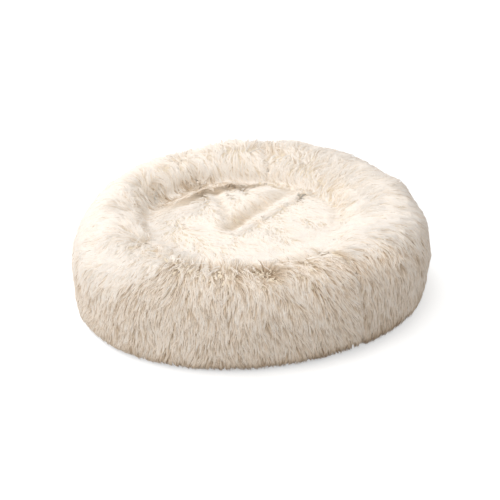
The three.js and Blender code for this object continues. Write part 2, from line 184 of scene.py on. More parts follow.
@dataclass(frozen=True)
class BedForm:
    """Shape of the bed on the mean surface of its pile, with the sizes of the CAD part."""

    oval: float = 0.075
    long_axis: float = math.radians(27)
    back_lift: float = 0.09
    left_lift: float = 0.045
    well_shift: float = 0.018
    foot_radius: float = 0.266
    bulge_out: float = 0.015
    bulge_height: float = 0.072
    crest_radius: float = 0.210
    crest_height: float = 0.166
    flank_roundness: float = 2.1
    crown_roundness: float = 2.2
    pile_thickness: float = 0.022
    foot_height: float = 0.004
    body_floor: float = 0.002
    seam_radius: float = 0.150
    seam_height: float = 0.118
    seam_edge_depth: float = 0.020
    cushion_crown: float = 0.016
    cushion_power: float = 4
    crease_junction: Pair = (-0.11, -0.16)
    crease_ends: Table = ((-0.38, 0.83), (0.54, 0.73), (-0.2, -0.45))
    crease_left: tuple[float, ...] = (0.0065, 0.0120, 0.004)
    crease_reach: tuple[float, ...] = (0.011, 0.015, 0.012)
    cushion_puff: float = 0.004
    bridge_share: float = 0.25
    bridge_reach: float = 0.016
    base_radius: float = 0.250
    cross_seam: float = math.radians(-48.5)
    seam_rise: float = 0.014
    seam_low: float = math.radians(110)
    open_lift: float = 0.006
    rim_core: Pair = (0.205, 0.085)
    dents: tuple[tuple[float, float, float, float, float], ...] = (
        (79.0, 0.188, 0.158, 0.026, 0.010),
        (69.0, 0.212, 0.166, 0.040, -0.004),
        (161.5, 0.164, 0.140, 0.026, 0.009),
        (139.0, 0.176, 0.154, 0.030, -0.006),
        (274.0, 0.222, 0.162, 0.026, 0.005),
        (229.0, 0.214, 0.166, 0.028, 0.006),
    )
    overhang: Table = (
        (0, 0.020), (20, 0.010), (28, 0.006), (42, 0.014), (60, 0.012), (75, 0.011), (88, 0.028),
        (102, 0.046), (121, 0.038), (149, 0.044), (165, 0.034), (180, 0.022), (200, 0.018),
        (230, 0.024), (270, 0.026), (320, 0.026),
    )

    def plan_scale(self, azimuth: Array) -> Array:
        """Factor by which the plan is drawn out at an azimuth."""
        return 1 + self.oval * np.cos(2 * (azimuth - self.long_axis))

    def height_scale(self, radius: Array, azimuth: Array) -> Array:
        """Factor by which heights grow at a place."""
        lift = self.back_lift * np.sin(azimuth) - self.left_lift * np.cos(azimuth)
        return 1 + np.minimum(1, radius / self.seam_radius) * lift

    def left_shift(self, radius: Array) -> Array:
        """How far a place has moved left with the hollow."""
        still = self.foot_radius - self.pile_thickness
        return self.well_shift * np.clip((still - radius) / (still - self.seam_radius), 0, 1)

    def place(self, radius: Array, height: Array, azimuth: Array) -> Array:
        """Points of the bed for section points at an azimuth.

        Args:
            radius: Section radius.
            height: Section height.
            azimuth: Azimuth in radians.

        Returns:
            Points with x, y and z along the last axis.
        """
        plan = radius * self.plan_scale(azimuth)
        rise = np.maximum(height - self.body_floor, 0) * (self.height_scale(radius, azimuth) - 1)
        x = plan * np.cos(azimuth) - self.left_shift(radius)
        return np.stack(np.broadcast_arrays(x, plan * np.sin(azimuth), height + rise), -1)

    def seam_lift(self, azimuth: Array) -> Array:
        """How much higher the cushion's seam lies than at its lowest place."""
        return self.seam_rise * (1 - np.cos(azimuth - self.seam_low)) / 2

    def lift_seam(self, radius: Array, height: Array, azimuth: Array) -> Array:
        """Heights of the rim's section after the seam has been lifted."""
        share = np.clip((self.crest_height - height) / (self.crest_height - self.seam_height), 0, 1)
        return height + np.where(radius < self.crest_radius, share, 0) * self.seam_lift(azimuth)

    def dented(self, radius: Array, height: Array, azimuth: Array) -> tuple[Array, Array]:
        """Section places after the rim's dents and humps.

        Args:
            radius: Section radii.
            height: Section heights.
            azimuth: Azimuths in radians.

        Returns:
            New radii and heights.
        """
        depth = np.zeros(np.broadcast(radius, height, azimuth).shape)
        for degrees, at_radius, at_height, reach, deep in self.dents:
            turn = (azimuth - math.radians(degrees) + math.pi) % FULL_TURN - math.pi
            gap = (turn * at_radius) ** 2 + (radius - at_radius) ** 2 + (height - at_height) ** 2
            depth = depth + deep * np.exp(-gap / reach ** 2)
        out, up = radius - self.rim_core[0], height - self.rim_core[1]
        size = np.maximum(np.hypot(out, up), 1e-6)
        return np.maximum(self.seam_radius, radius - depth * out / size), height - depth * up / size

    def rim_section(self, count: int) -> tuple[Array, Array, Array]:
        """Radius, height and run along the rim's section, from its foot over its crest to the seam.

        Args:
            count: Points in each quarter.

        Returns:
            Radii, heights and lengths from the foot.
        """
        turn = np.linspace(0, QUARTER, count)
        bulge = self.foot_radius + self.bulge_out
        flank, crown = 2 / self.flank_roundness, 2 / self.crown_roundness
        low = (
            self.foot_radius + self.bulge_out * np.sin(turn) ** flank,
            self.bulge_height - (self.bulge_height - self.foot_height) * np.cos(turn) ** flank,
        )
        high = (
            self.crest_radius + (bulge - self.crest_radius) * np.cos(turn) ** crown,
            self.bulge_height + (self.crest_height - self.bulge_height) * np.sin(turn) ** crown,
        )
        inside = (
            self.crest_radius - (self.crest_radius - self.seam_radius) * np.sin(turn),
            self.seam_height + (self.crest_height - self.seam_height) * np.cos(turn),
        )
        radius = np.concatenate([low[0], high[0][1:], inside[0][1:]])
        height = np.concatenate([low[1], high[1][1:], inside[1][1:]])
        run = np.concatenate([[0], np.cumsum(np.hypot(np.diff(radius), np.diff(height)))])
        return radius, height, run

    def arm(self, number: int, x: Array, y: Array) -> tuple[Array, Array, Array]:
        """Places measured from one arm of the cushion's crease.

        Args:
            number: Number of the arm.
            x: First share of the seam radius.
            y: Second share of the seam radius.

        Returns:
            Distance from the arm, share of the way along it, and signed distance from its line.
        """
        px, py = self.crease_junction
        ex, ey = self.crease_ends[number]
        dx, dy = ex - px, ey - py
        along = np.clip(((x - px) * dx + (y - py) * dy) / (dx * dx + dy * dy), 0, 1)
        gap = np.hypot(x - px - along * dx, y - py - along * dy) * self.seam_radius
        side = ((x - px) * dy - (y - py) * dx) / math.hypot(dx, dy) * self.seam_radius
        return gap, along, side

    def crease(self, x: Array, y: Array) -> Array:
        """Depth of the cushion's rounded crease, at places in shares of the seam radius.

        Args:
            x: First share of the seam radius.
            y: Second share of the seam radius.

        Returns:
            The depths.
        """
        total = np.zeros(np.shape(x))
        for number, (left, reach) in enumerate(zip(self.crease_left, self.crease_reach)):
            total = total + (left * bell(self.arm(number, x, y)[0], reach)) ** 3
        return np.cbrt(total)

    def cushion_top(self, x: Array, y: Array) -> Array:
        """Section height of the cushion's pile at a place in shares of the seam radius.

        Args:
            x: First share of the seam radius.
            y: Second share of the seam radius.

        Returns:
            The heights.
        """
        share = np.clip(np.hypot(x, y), 0, 1)
        fade = 1 - share ** self.cushion_power
        lift = self.seam_lift(np.arctan2(y, x))
        edge = self.seam_height + lift * share ** 3
        bridged = self.bridge_share * lift * bell((1 - share) * self.seam_radius, self.bridge_reach)
        return edge + (self.cushion_crown + self.cushion_puff - self.crease(x, y)) * fade + bridged

    def lap(self, azimuth: Array) -> Array:
        """How far the rim's pile falls over the cushion at an azimuth."""
        return round_table(self.overhang, azimuth)

    def bare_seam(self, azimuth: Array) -> Array:
        """Share, 0 to 1, to which the pile leaves the cushion's seam open."""
        return 1 - smooth_step(0.0, self.open_lift, self.seam_lift(azimuth))


@dataclass
class Ground:
    """Surface on a grid of two parameters, from which pile stands up.

    Attributes:
        points: Points of the pile's mean surface, (rows, columns, 3).
        start: First value of each parameter.
        step: Step of each parameter.
        wraps: Whether the second parameter closes on itself.
    """

    points: Array
    start: Pair
    step: Pair
    wraps: bool
    normals: Array = field(init=False)
    reach: Array = field(init=False)
    LAST = 1.001

    def __post_init__(self) -> None:
        """Work out normals, and metres per unit of each parameter."""
        self.refresh()

    def refresh(self) -> None:
        """Work out normals and reach again after the points have moved."""
        along = np.gradient(self.points, self.step[0], axis=0)
        if self.wraps:
            padded = np.concatenate([self.points[:, -1:], self.points, self.points[:, :1]], axis=1)
            across = (padded[:, 2:] - padded[:, :-2]) / (2 * self.step[1])
            self.normals = unit(np.cross(across, along))
        else:
            across = np.gradient(self.points, self.step[1], axis=1)
            self.normals = unit(np.cross(along, across))
        self.reach = np.stack([np.linalg.norm(along, axis=-1), np.linalg.norm(across, axis=-1)], -1)

    def read(self, values: Array, a: Array, b: Array) -> Array:
        """Values of a grid between its points.

        Args:
            values: Grid of values, (rows, columns, n).
            a: First parameter.
            b: Second parameter.

        Returns:
            Interpolated values with n along the last axis.
        """
        rows, columns = values.shape[:2]
        i = np.clip((a - self.start[0]) / self.step[0], 0, rows - self.LAST)
        j = (b - self.start[1]) / self.step[1]
        j = j % columns if self.wraps else np.clip(j, 0, columns - self.LAST)
        i0, j0 = i.astype(int), j.astype(int) % columns
        fi, fj = (i - i0)[..., None], (j - np.floor(j))[..., None]
        j1 = (j0 + 1) % columns
        low = values[i0, j0] * (1 - fj) + values[i0, j1] * fj
        high = values[i0 + 1, j0] * (1 - fj) + values[i0 + 1, j1] * fj
        return low * (1 - fi) + high * fi

    def at(self, a: Array, b: Array, height: Array) -> Array:
        """Points at a height above the mean surface.

        Args:
            a: First parameter.
            b: Second parameter.
            height: Height above the surface.

        Returns:
            The points.
        """
        normal = unit(self.read(self.normals, a, b))
        height = np.broadcast_to(height, np.shape(a))[..., None]
        return self.read(self.points, a, b) + normal * height


@dataclass(frozen=True)
class Fold:
    """A crease pressed into the rim between two places.

    Attributes:
        ends: Two places as (azimuth in degrees, run from the foot).
        width: Half width of the crease.
        depth: Depth of the crease.
        shade: Painted shade at its bottom, 0 to 1.
    """

    ends: tuple[Pair, Pair]
    width: float
    depth: float
    shade: float


@dataclass(frozen=True)
class Swirl:
    """A spot to or from which the pile turns.

    Attributes:
        azimuth: Azimuth in degrees.
        run: Run from the foot.
        size: Reach of the spot.
        draw: Pull towards the spot; negative sends the pile away from it.
        spin: Turn round the spot.
    """

    azimuth: float
    run: float
    size: float
    draw: float
    spin: float = 0.0


@dataclass(frozen=True)
class PileCut:
    """Measures of one kind of pile.

    Attributes:
        length: Length of a strand.
        depth: Depth of the backing below the pile's mean surface.
        spacing: Distance between tufts across the pile.
        row: Distance between tufts along the pile.
        strands: Strands in a tuft.
        radius: Radius of a strand at its root.
        clump: How far the tips of a tuft come together, 0 to 1.
        lie: Angle of the pile to the backing, in degrees, where it lies down.
        rise: Angle of the pile where it stands up.
        wander: Spread of the tufts' directions, in degrees.
    """

    length: float
    depth: float
    spacing: float
    row: float
    strands: int
    radius: float
    clump: float
    lie: float
    rise: float
    wander: float


@dataclass
class Tufts:
    """Places and ways of many tufts: one row each.

    Attributes:
        a: First parameter of the roots.
        b: Second parameter of the roots.
        way: Unit directions along the surface, in metres of each parameter.
        stand: How far the tuft stands up, 0 to 1.
        mess: How tangled the tuft is, 0 to 1.
        fluff: How brushed out the tuft is, 0 to 1, which also paints it lighter.
        shade: Painted shade of the tuft in seams, folds, puckers and tangles, 0 to 1.
    """

    a: Array
    b: Array
    way: Array
    stand: Array
    mess: Array
    fluff: Array
    shade: Array


def headed(way_a: Array, way_b: Array, weakest: float = 0.25) -> tuple[Array, Array]:
    """Directions of tufts, unit ones but where the pile hardly leans.

    Args:
        way_a: Lean along the first parameter.
        way_b: Lean along the second parameter.
        weakest: Lean below which a direction stays short.

    Returns:
        The directions, and how far each tuft leans.
    """
    lean = np.hypot(way_a, way_b)
    return np.stack([way_a, way_b], -1) / np.maximum(lean, weakest)[:, None], lean


def only(piece: Piece) -> None:
    """Select one object alone and make it active.

    Args:
        piece: The object.
    """
    bpy.ops.object.select_all(action="DESELECT")
    piece.select_set(True)
    bpy.context.view_layer.objects.active = piece


def put(items: object, attribute: str, values: Array, kind: type = np.float32) -> None:
    """Set one attribute of all items of a mesh."""
    items.foreach_set(attribute, values.astype(kind).ravel())


def coordinates(piece: Piece) -> Array:
    """Vertex places of a piece, one row each.

    Args:
        piece: The piece.

    Returns:
        The places, (vertices, 3).
    """
    flat = np.empty(len(piece.data.vertices) * 3, dtype=np.float32)
    piece.data.vertices.foreach_get("co", flat)
    return flat.reshape(-1, 3).astype(float)


def move_vertices(piece: Piece, places: Array) -> None:
    """Move the vertices of a piece to new places."""
    put(piece.data.vertices, "co", places)
    piece.data.update()


def linked(name: str, data: bpy.types.ID) -> Piece:
    """A new object with that data, in the scene.

    Args:
        name: Name of the object.
        data: What the object shows.

    Returns:
        The object.
    """
    piece = bpy.data.objects.new(name, data)
    bpy.context.collection.objects.link(piece)
    return piece


def primitive(name: str, operator: Callable[..., object], **sizes: float) -> Piece:
    """Add a primitive.

    Args:
        name: Name of the new piece.
        operator: Operator that adds it.
        sizes: Sizes for the operator.

    Returns:
        The piece.
    """
    bpy.ops.object.select_all(action="DESELECT")
    operator(**sizes)
    piece = bpy.context.active_object
    piece.name = piece.data.name = name
    return piece


def flat_grid(name: str, columns: int, rows: int) -> tuple[Piece, Array, Array]:
    """A grid added flat, whose places serve as parameters.

    Args:
        name: Name of the new piece.
        columns: Faces along the first parameter.
        rows: Faces along the second parameter.

    Returns:
        The piece, and both parameters of its vertices, 0 to 1.
    """
    piece = primitive(name, bpy.ops.mesh.primitive_grid_add,
                      x_subdivisions=columns, y_subdivisions=rows, size=1.0)
    places = coordinates(piece)
    return piece, places[:, 0] + 0.5, places[:, 1] + 0.5


def mend(piece: Piece, *steps: Callable[[], object]) -> None:
    """Run operators on a piece's whole mesh, and turn its faces outwards.

    Args:
        piece: Piece to edit.
        steps: Operators with their settings, in order.
    """
    only(piece)
    bpy.ops.object.mode_set(mode="EDIT")
    bpy.ops.mesh.select_all(action="SELECT")
    for step in (*steps, partial(bpy.ops.mesh.normals_make_consistent, inside=False)):
        step()
    bpy.ops.object.mode_set(mode="OBJECT")


def finish_with(piece: Piece, kind: str, **settings: object) -> None:
    """Apply one new modifier to a piece.

    Args:
        piece: Piece to finish.
        kind: Type of the modifier.
        settings: Attributes to set on it.
    """
    only(piece)
    modifier = piece.modifiers.new(kind.lower(), kind)
    for key, value in settings.items():
        setattr(modifier, key, value)
    bpy.ops.object.modifier_apply(modifier=modifier.name)


def smooth(piece: Piece, angle: float = 60) -> None:
    """Shade a piece smooth, but for edges sharper than an angle in degrees."""
    only(piece)
    bpy.ops.object.shade_smooth_by_angle(angle=math.radians(angle))


def place_on_bed(piece: Piece, body: Body, *names: str) -> None:
    """Let a piece ride on a body and stand for some CAD nodes.

    Args:
        piece: The piece.
        body: Body that it rides on.
        names: CAD nodes that it stands for.
    """
    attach(piece, body.value)
    if names:
        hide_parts(*names)


STATIONS = np.array([0.0, 0.36, 0.7, 1.0])
CORNERS = [3, 3, 3, 1]


@dataclass
class Strands:
    """Closed three-sided strands in one mesh: at each station a ring of corners, last the tip.

    Attributes:
        centres: Centre lines, (strands, 4, 3).
        outward: Outward directions, (strands, 4, 3).
        radii: Root radii, one per strand.
        tints: Tints, 0 to 1, one per strand: random tone with painted light and shade in it.
        fluff: How brushed out each strand is, 0 to 1, which also paints it lighter.
        shade: Painted shade at each point of the lines, (strands, 4).
    """

    centres: Array
    outward: Array
    radii: Array
    tints: Array
    fluff: Array
    shade: Array

    TAPER = (1.0, 0.92, 0.6)
    RING_TURNS = np.radians([90, 210, 330])
    RIDGE_WIDTH = 1.3
    RIDGE_HEIGHT = 0.7
    LAID_NORMAL_SHARE = 0.05
    FLUFF_NORMAL_SHARE = 0.52
    # Painted light on brushed-out pile, and the strength of the painted shade, along the colour
    # map.
    FLUFF_LIGHT = 0.62
    CREASE_SHADE = 0.75
    MAP_START = 0.005
    MAP_WIDTH = 0.975
    MAP_ACROSS = np.array([0.0, 0.006, 0.012] * 3 + [0.006])
    MAP_ALONG = np.repeat(STATIONS, CORNERS) * 0.98 + np.array([0.0, 0.012, 0.0] * 3 + [0.02])

    def vertices(self) -> Array:
        """Corner points, (strands, 10, 3), none of them below the floor.

        Returns:
            The points.
        """
        ahead = np.concatenate([self.centres[:, 1:], self.centres[:, -1:]], axis=1)
        behind = np.concatenate([self.centres[:, :1], self.centres[:, :-1]], axis=1)
        tangent = unit(ahead - behind)
        side = unit(np.cross(tangent, self.outward))
        up = np.cross(side, tangent)
        corners = []
        for station, taper in enumerate(self.TAPER):
            radius = (self.radii * taper)[:, None]
            for turn in self.RING_TURNS:
                across = side[:, station] * math.cos(turn) * self.RIDGE_WIDTH
                lift = up[:, station] * math.sin(turn) * self.RIDGE_HEIGHT
                corners.append(self.centres[:, station] + radius * (across + lift))
        points = np.stack([*corners, self.centres[:, 3]], axis=1)
        points[..., 2] = np.maximum(points[..., 2], 0.0)
        return points

    def normals(self, points: Array) -> Array:
        """Shading normals of the corners: a strand's own, turned towards those of the pile.

        Args:
            points: Corner points, as vertices gives them.

        Returns:
            One normal per corner.
        """
        own = unit(points - np.repeat(self.centres, CORNERS, axis=1))
        own[:, -1] = self.outward[:, -1]
        pile = np.repeat(self.outward, CORNERS, axis=1)
        span = self.FLUFF_NORMAL_SHARE - self.LAID_NORMAL_SHARE
        share = self.LAID_NORMAL_SHARE + span * self.fluff[:, None, None]
        return unit(own * (1 - share) + pile * share)

    def colour_map(self) -> Array:
        """Map places of the corners: tint, and the way from root to tip, (strands, 10, 2).

        Returns:
            The map places.
        """
        u = np.clip(self.MAP_START + self.tints[:, None] * self.MAP_WIDTH + self.MAP_ACROSS, 0, 1)
        # Painted light: brushed-out strands move towards their pale tip colour.
        lit = self.FLUFF_LIGHT * self.fluff[:, None] * (1 - self.MAP_ALONG)
        # Painted shade: creases and the foot move strands towards their dark root colour.
        dark = 1 - self.CREASE_SHADE * np.repeat(self.shade, CORNERS, axis=1)
        return np.stack([u, np.clip((self.MAP_ALONG + lit) * dark, 0, 1)], -1)

    @staticmethod
    def pattern() -> tuple[list[int], list[int]]:
        """Corner numbers and face sizes of one strand: six sides, the point and the root.

        Returns:
            Corner numbers of all faces in a row, and the size of each face.
        """
        ring = [(k, (k + 1) % 3) for k in range(3)]
        sides = [(low + n, low + k, low + 3 + k, low + 3 + n) for low in (0, 3) for k, n in ring]
        faces = [*sides, *((6 + n, 6 + k, 9) for k, n in ring), (0, 1, 2)]
        return [corner for face in faces for corner in face], [len(face) for face in faces]

    def mesh(self, name: str) -> bpy.types.Mesh:
        """One mesh of all strands, with the map that drives their colour.

        Args:
            name: Name of the mesh.

        Returns:
            The new mesh.
        """
        count = len(self.centres)
        corners, sizes = self.pattern()
        first = np.arange(count)[:, None] * sum(CORNERS)
        totals = np.tile(sizes, count)
        points = self.vertices()
        mesh = bpy.data.meshes.new(name)
        mesh.vertices.add(count * sum(CORNERS))
        mesh.loops.add(count * len(corners))
        mesh.polygons.add(count * len(sizes))
        put(mesh.vertices, "co", points)
        put(mesh.loops, "vertex_index", np.array(corners) + first, np.int32)
        put(mesh.polygons, "loop_start", np.cumsum(totals) - totals, np.int32)
        put(mesh.polygons, "loop_total", totals, np.int32)
        put(mesh.polygons, "use_smooth", np.ones(len(totals)), bool)
        mesh.update(calc_edges=True)
        shading = mesh.attributes.new("custom_normal", "FLOAT_VECTOR", "POINT")
        put(shading.data, "vector", self.normals(points))
        put(mesh.uv_layers.new(name=BAKE_UV).data, "uv", self.colour_map()[:, corners])
        return mesh

    def piece(self, name: str, node: str, dense: bool = False) -> Piece:
        """Piece of pile. Fine fibres let light through: only the dense foot casts shade.

        Args:
            name: Name of the piece.
            node: CAD node that the pile stands for.
            dense: Whether the pile keeps light back.

        Returns:
            The piece.
        """
        piece = linked(name, self.mesh(name))
        piece.visible_diffuse = piece.visible_shadow = dense
        place_on_bed(piece, Body.BED, node)
        return piece


@dataclass(frozen=True)
class Growth:
    """How strands differ within the pile, shares unless a length is meant.

    Attributes:
        tuft_lengths: Lengths of tufts.
        strand_lengths: Lengths of the strands within a tuft.
        strand_radii: Radii of strands.
        tangle: How much more a tangled tuft wanders.
        curl: Spread of the bows, laid and tangled.
        top: Height of the tips above the mean surface, in metres.
        top_spread: Spread of that height, between tufts and between strands.
        top_stand: Height added where the pile stands, in metres.
        root_spread: Reach of a tuft's roots.
        drift: Spread of the tips, in metres.
        run_power: Power of the run along a strand.
        rise_power: Power of the rise along a strand.
        tint: Tint of laid pile, and what fluff adds as painted light.
        tint_spread: Tint spread between tufts and strands: random tone, and painted light and
            shade.
        short_height: Height of a strand cut to nothing, and what a full one has more.
        short_radius: Its radius, and what a full one has more.
        darkest: Most painted shade that a place gets.
    """

    tuft_lengths: Pair = (0.84, 1.1)
    strand_lengths: Pair = (0.86, 1.06)
    strand_radii: Pair = (0.85, 1.15)
    tangle: float = 3.5
    curl: Pair = (0.05, 0.22)
    top: float = 0.0015
    top_spread: Pair = (0.0016, 0.0009)
    top_stand: float = 0.003
    root_spread: float = 0.62
    drift: float = 0.0011
    run_power: float = 1.22
    rise_power: float = 1.9
    tint: Pair = (0.36, 0.42)
    tint_spread: Pair = (0.16, 0.18)
    short_height: Pair = (0.3, 0.7)
    short_radius: Pair = (0.55, 0.6)
    darkest: float = 1.25

    def grow(self, ground: Ground, tufts: Tufts, cut: PileCut,
             hem: Callable[[Array, Array], Array], dim: Callable[[Array, Array], Array],
             rng: np.random.Generator) -> Strands:
        """Grow strands in tufts on a ground.

        Args:
            ground: Surface that carries the pile.
            tufts: Places and ways of the tufts.
            cut: Measures of the pile.
            hem: Gives, for root and run in the first parameter, the run left to a strand.
            dim: Gives, for both parameters of a place, painted shade where little light reaches it.
            rng: Source of the strands' small differences.

        Returns:
            The strands.
        """
        count = len(tufts.a)
        each = (count, cut.strands)
        turn = np.radians(rng.normal(0, cut.wander, count) * (1 + self.tangle * tufts.mess))
        cos, sin = np.cos(turn), np.sin(turn)
        way_a = tufts.way[:, 0] * cos - tufts.way[:, 1] * sin
        way_b = tufts.way[:, 0] * sin + tufts.way[:, 1] * cos
        length = cut.length * rng.uniform(*self.tuft_lengths, count)
        lie = np.radians(cut.lie + (cut.rise - cut.lie) * tufts.stand)
        top = cut.depth + rng.normal(self.top, self.top_spread[0], count)
        top = top + self.top_stand * tufts.stand
        curl = rng.normal(0, self.curl[0] + self.curl[1] * tufts.mess, count) * length

        angle = rng.uniform(0, FULL_TURN, each)
        spread = np.sqrt(rng.uniform(0, 1, each)) * self.root_spread
        root = (spread * np.cos(angle) * cut.row, spread * np.sin(angle) * cut.spacing)
        off = np.stack(root, -1)[..., None, :]
        size = length[:, None] * rng.uniform(*self.strand_lengths, each)
        flat = size * np.cos(lie)[:, None]
        tips = top[:, None] + rng.normal(0, self.top_spread[1], each)
        height = np.minimum(size * np.sin(lie)[:, None], tips)
        drift = rng.normal(0, self.drift, (*each, 2))[..., None, :]

        reach = ground.read(ground.reach, tufts.a, tufts.b)
        want = way_a[:, None] * flat / reach[:, None, 0]
        kept = hem(tufts.a[:, None] + off[..., 0, 0] / reach[:, None, 0], want)
        runs = np.abs(want) > 1e-9
        share = np.clip(np.where(runs, kept / np.where(runs, want, 1), 1), 0, 1)
        height = height * (self.short_height[0] + self.short_height[1] * share)

        t = STATIONS[:, None]
        along = np.stack([way_a, way_b], -1)[:, None, None]
        across = np.stack([-way_b, way_a], -1)[:, None, None]
        gather = 1 - cut.clump * (t * t * (3 - 2 * t))
        bow = np.sin(math.pi * t) * curl[:, None, None, None]
        run = along * (flat * share)[..., None, None] * t ** self.run_power
        move = (off * gather + run + across * bow + drift * t) / reach[:, None, None]
        a, b = tufts.a[:, None, None] + move[..., 0], tufts.b[:, None, None] + move[..., 1]
        rise = height[..., None] * (1 - (1 - STATIONS) ** self.rise_power)

        # Painted shade: the tuft's own, or that of the place where it is darker.
        shade = np.maximum(tufts.shade[:, None, None], dim(a, b))
        # Brushed-out pile gets a paler tint as painted light; the spread is random tone and painted
        # lock shading.
        tints = self.tint[0] + self.tint[1] * tufts.fluff
        tints = tints + rng.normal(0, self.tint_spread[0], count)
        tints = np.clip(tints[:, None] + rng.normal(0, self.tint_spread[1], each), 0, 1)
        full = np.clip(self.short_radius[0] + self.short_radius[1] * share, 0, 1)
        radii = cut.radius * rng.uniform(*self.strand_radii, each) * full
        return Strands(
            ground.at(a, b, rise - cut.depth).reshape(-1, len(STATIONS), 3),
            ground.read(ground.normals, a, b).reshape(-1, len(STATIONS), 3),
            radii.ravel(),
            tints.ravel(),
            np.repeat(tufts.fluff, cut.strands),
            np.clip(shade, 0, self.darkest).reshape(-1, len(STATIONS)),
        )


class Tree:
    """Adds nodes to a tree, and gives their inputs values or links."""

    GROUP_ENDS = ("NodeGroupInput", "NodeGroupOutput")

    def __init__(self, tree: bpy.types.NodeTree) -> None:
        """Keep the tree."""
        self.tree = tree

    def give(self, socket: Socket, value: object) -> None:
        """Link an input to a socket, or set its value; colours are given without alpha.

        Args:
            socket: The input.
            value: Socket or value for it.
        """
        if isinstance(value, Socket):
            self.tree.links.new(value, socket)
        else:
            socket.default_value = (*value, 1) if socket.type == "RGBA" else value

    def add(self, kind: str, inputs: Optional[dict] = None, **settings: object) -> bpy.types.Node:
        """A new node.

        Args:
            kind: Node type without the leading Shader.
            inputs: Values or sockets for its inputs, by name or number.
            settings: Attributes to set on the node.

        Returns:
            The node.
        """
        node = self.tree.nodes.new(kind if kind in self.GROUP_ENDS else f"Shader{kind}")
        for key, value in settings.items():
            setattr(node, key, value)
        for key, value in (inputs or {}).items():
            self.give(node.inputs[key], value)
        return node

    def math(self, operation: str, *values: object) -> Socket:
        """Output of a Math node with those values or sockets."""
        return self.add("NodeMath", dict(enumerate(values)), operation=operation).outputs[0]

    def times(self, a: object, b: object) -> Socket:
        """Product of two colours.

        Args:
            a: Socket or colour.
            b: Socket or colour.

        Returns:
            Output of the product.
        """
        node = self.add("NodeMix", data_type="RGBA", blend_type="MULTIPLY")
        for name, kind, value in (("Factor", "VALUE", 1.0), ("A", "RGBA", a), ("B", "RGBA", b)):
            found = (s for s in node.inputs if s.name == name and s.type == kind and s.enabled)
            self.give(next(found), value)
        return next(s for s in node.outputs if s.type == "RGBA")

    def ramp(self, value: Socket, *stops: tuple[float, Colour]) -> Socket:
        """Colour output of a ramp with those stops.

        Args:
            value: What the ramp reads, 0 to 1.
            stops: Places, with colours as they show on screen.

        Returns:
            The output.
        """
        node = self.add("NodeValToRGB", {0: value})
        elements = node.color_ramp.elements
        while len(elements) < len(stops):
            elements.new(0.5)
        for element, (place, colour) in zip(elements, stops):
            element.position = place
            element.color = (*linear(colour), 1)
        return node.outputs[0]

    def noise(self, spot: Socket, **inputs: float) -> Socket:
        """Value of a noise texture at a place."""
        return self.add("NodeTexNoise", {"Vector": spot, **inputs}).outputs["Fac"]

    def between(self, value: Socket, low: float, high: float) -> Socket:
        """A value of 0 to 1 brought between two others."""
        return self.add("NodeMapRange", {"Value": value, "To Min": low, "To Max": high}).outputs[0]

    def bump(self, height: Socket, strength: float, distance: float) -> Socket:
        """Normal with a fine relief."""
        inputs = {"Height": height, "Strength": strength, "Distance": distance}
        return self.add("NodeBump", inputs).outputs[0]

    def spot(self) -> Socket:
        """Place on the object."""
        return self.add("NodeTexCoord").outputs["Object"]


def linear(colour: Colour) -> Colour:
    """Linear value of a colour as it shows on screen, 0 to 1."""
    return tuple(c / 12.92 if c <= 0.04045 else ((c + 0.055) / 1.055) ** 2.4 for c in colour)


def weave_group() -> bpy.types.NodeTree:
    """Node group for plain woven cloth: thread height, and uneven painted shade between threads.

    Returns:
        The group, made at the first call.
    """
    name = "woven_threads"
    if name in bpy.data.node_groups:
        return bpy.data.node_groups[name]
    group = bpy.data.node_groups.new(name, "ShaderNodeTree")
    for socket, way, kind in (("Vector", "INPUT", "Vector"), ("Threads", "INPUT", "Float"),
                              ("Slub", "INPUT", "Float"), ("Height", "OUTPUT", "Float"),
                              ("Shade", "OUTPUT", "Float")):
        group.interface.new_socket(socket, in_out=way, socket_type=f"NodeSocket{kind}")
    tree = Tree(group)
    given = tree.add("NodeGroupInput").outputs
    slub = tree.noise(given["Vector"], Scale=180.0, Detail=3.0)
    push = tree.math("MULTIPLY", slub, given["Slub"])
    split = tree.add("NodeSeparateXYZ", {0: given["Vector"]})
    waves = []
    for axis in (0, 1):
        scaled = tree.math("MULTIPLY", split.outputs[axis], given["Threads"])
        waves.append(tree.math("SINE", tree.math("ADD", scaled, push)))
    pick = tree.math("GREATER_THAN", tree.math("MULTIPLY", *waves), 0.0)
    warp = tree.math("MULTIPLY", tree.math("ABSOLUTE", waves[0]), pick)
    under = tree.math("SUBTRACT", 1.0, pick)
    height = tree.math("ADD", warp, tree.math("MULTIPLY", tree.math("ABSOLUTE", waves[1]), under))
    # Painted shade: darker where the threads dip, uneven with the slub.
    shade = tree.math("MULTIPLY", height, tree.math("ADD", slub, 0.35))
    tree.add("NodeGroupOutput", {"Height": height, "Shade": shade})
    return group


@dataclass(frozen=True)
class Finish:
    """A named finish, and the material slot that it belongs to."""

    name: str
    slot: Optional[Slot]

    def inputs(self, tree: Tree) -> dict[str, object]:
        """Values or sockets for the shader, by input."""
        raise NotImplementedError

    def material(self) -> bpy.types.Material:
        """Build the material.

        Returns:
            The new material.
        """
        material = bpy.data.materials.new(self.name)
        material.use_nodes = True
        tree = Tree(material.node_tree)
        shader = next(n for n in material.node_tree.nodes if n.type == "BSDF_PRINCIPLED")
        for key, value in self.inputs(tree).items():
            tree.give(shader.inputs[key], value)
        return material


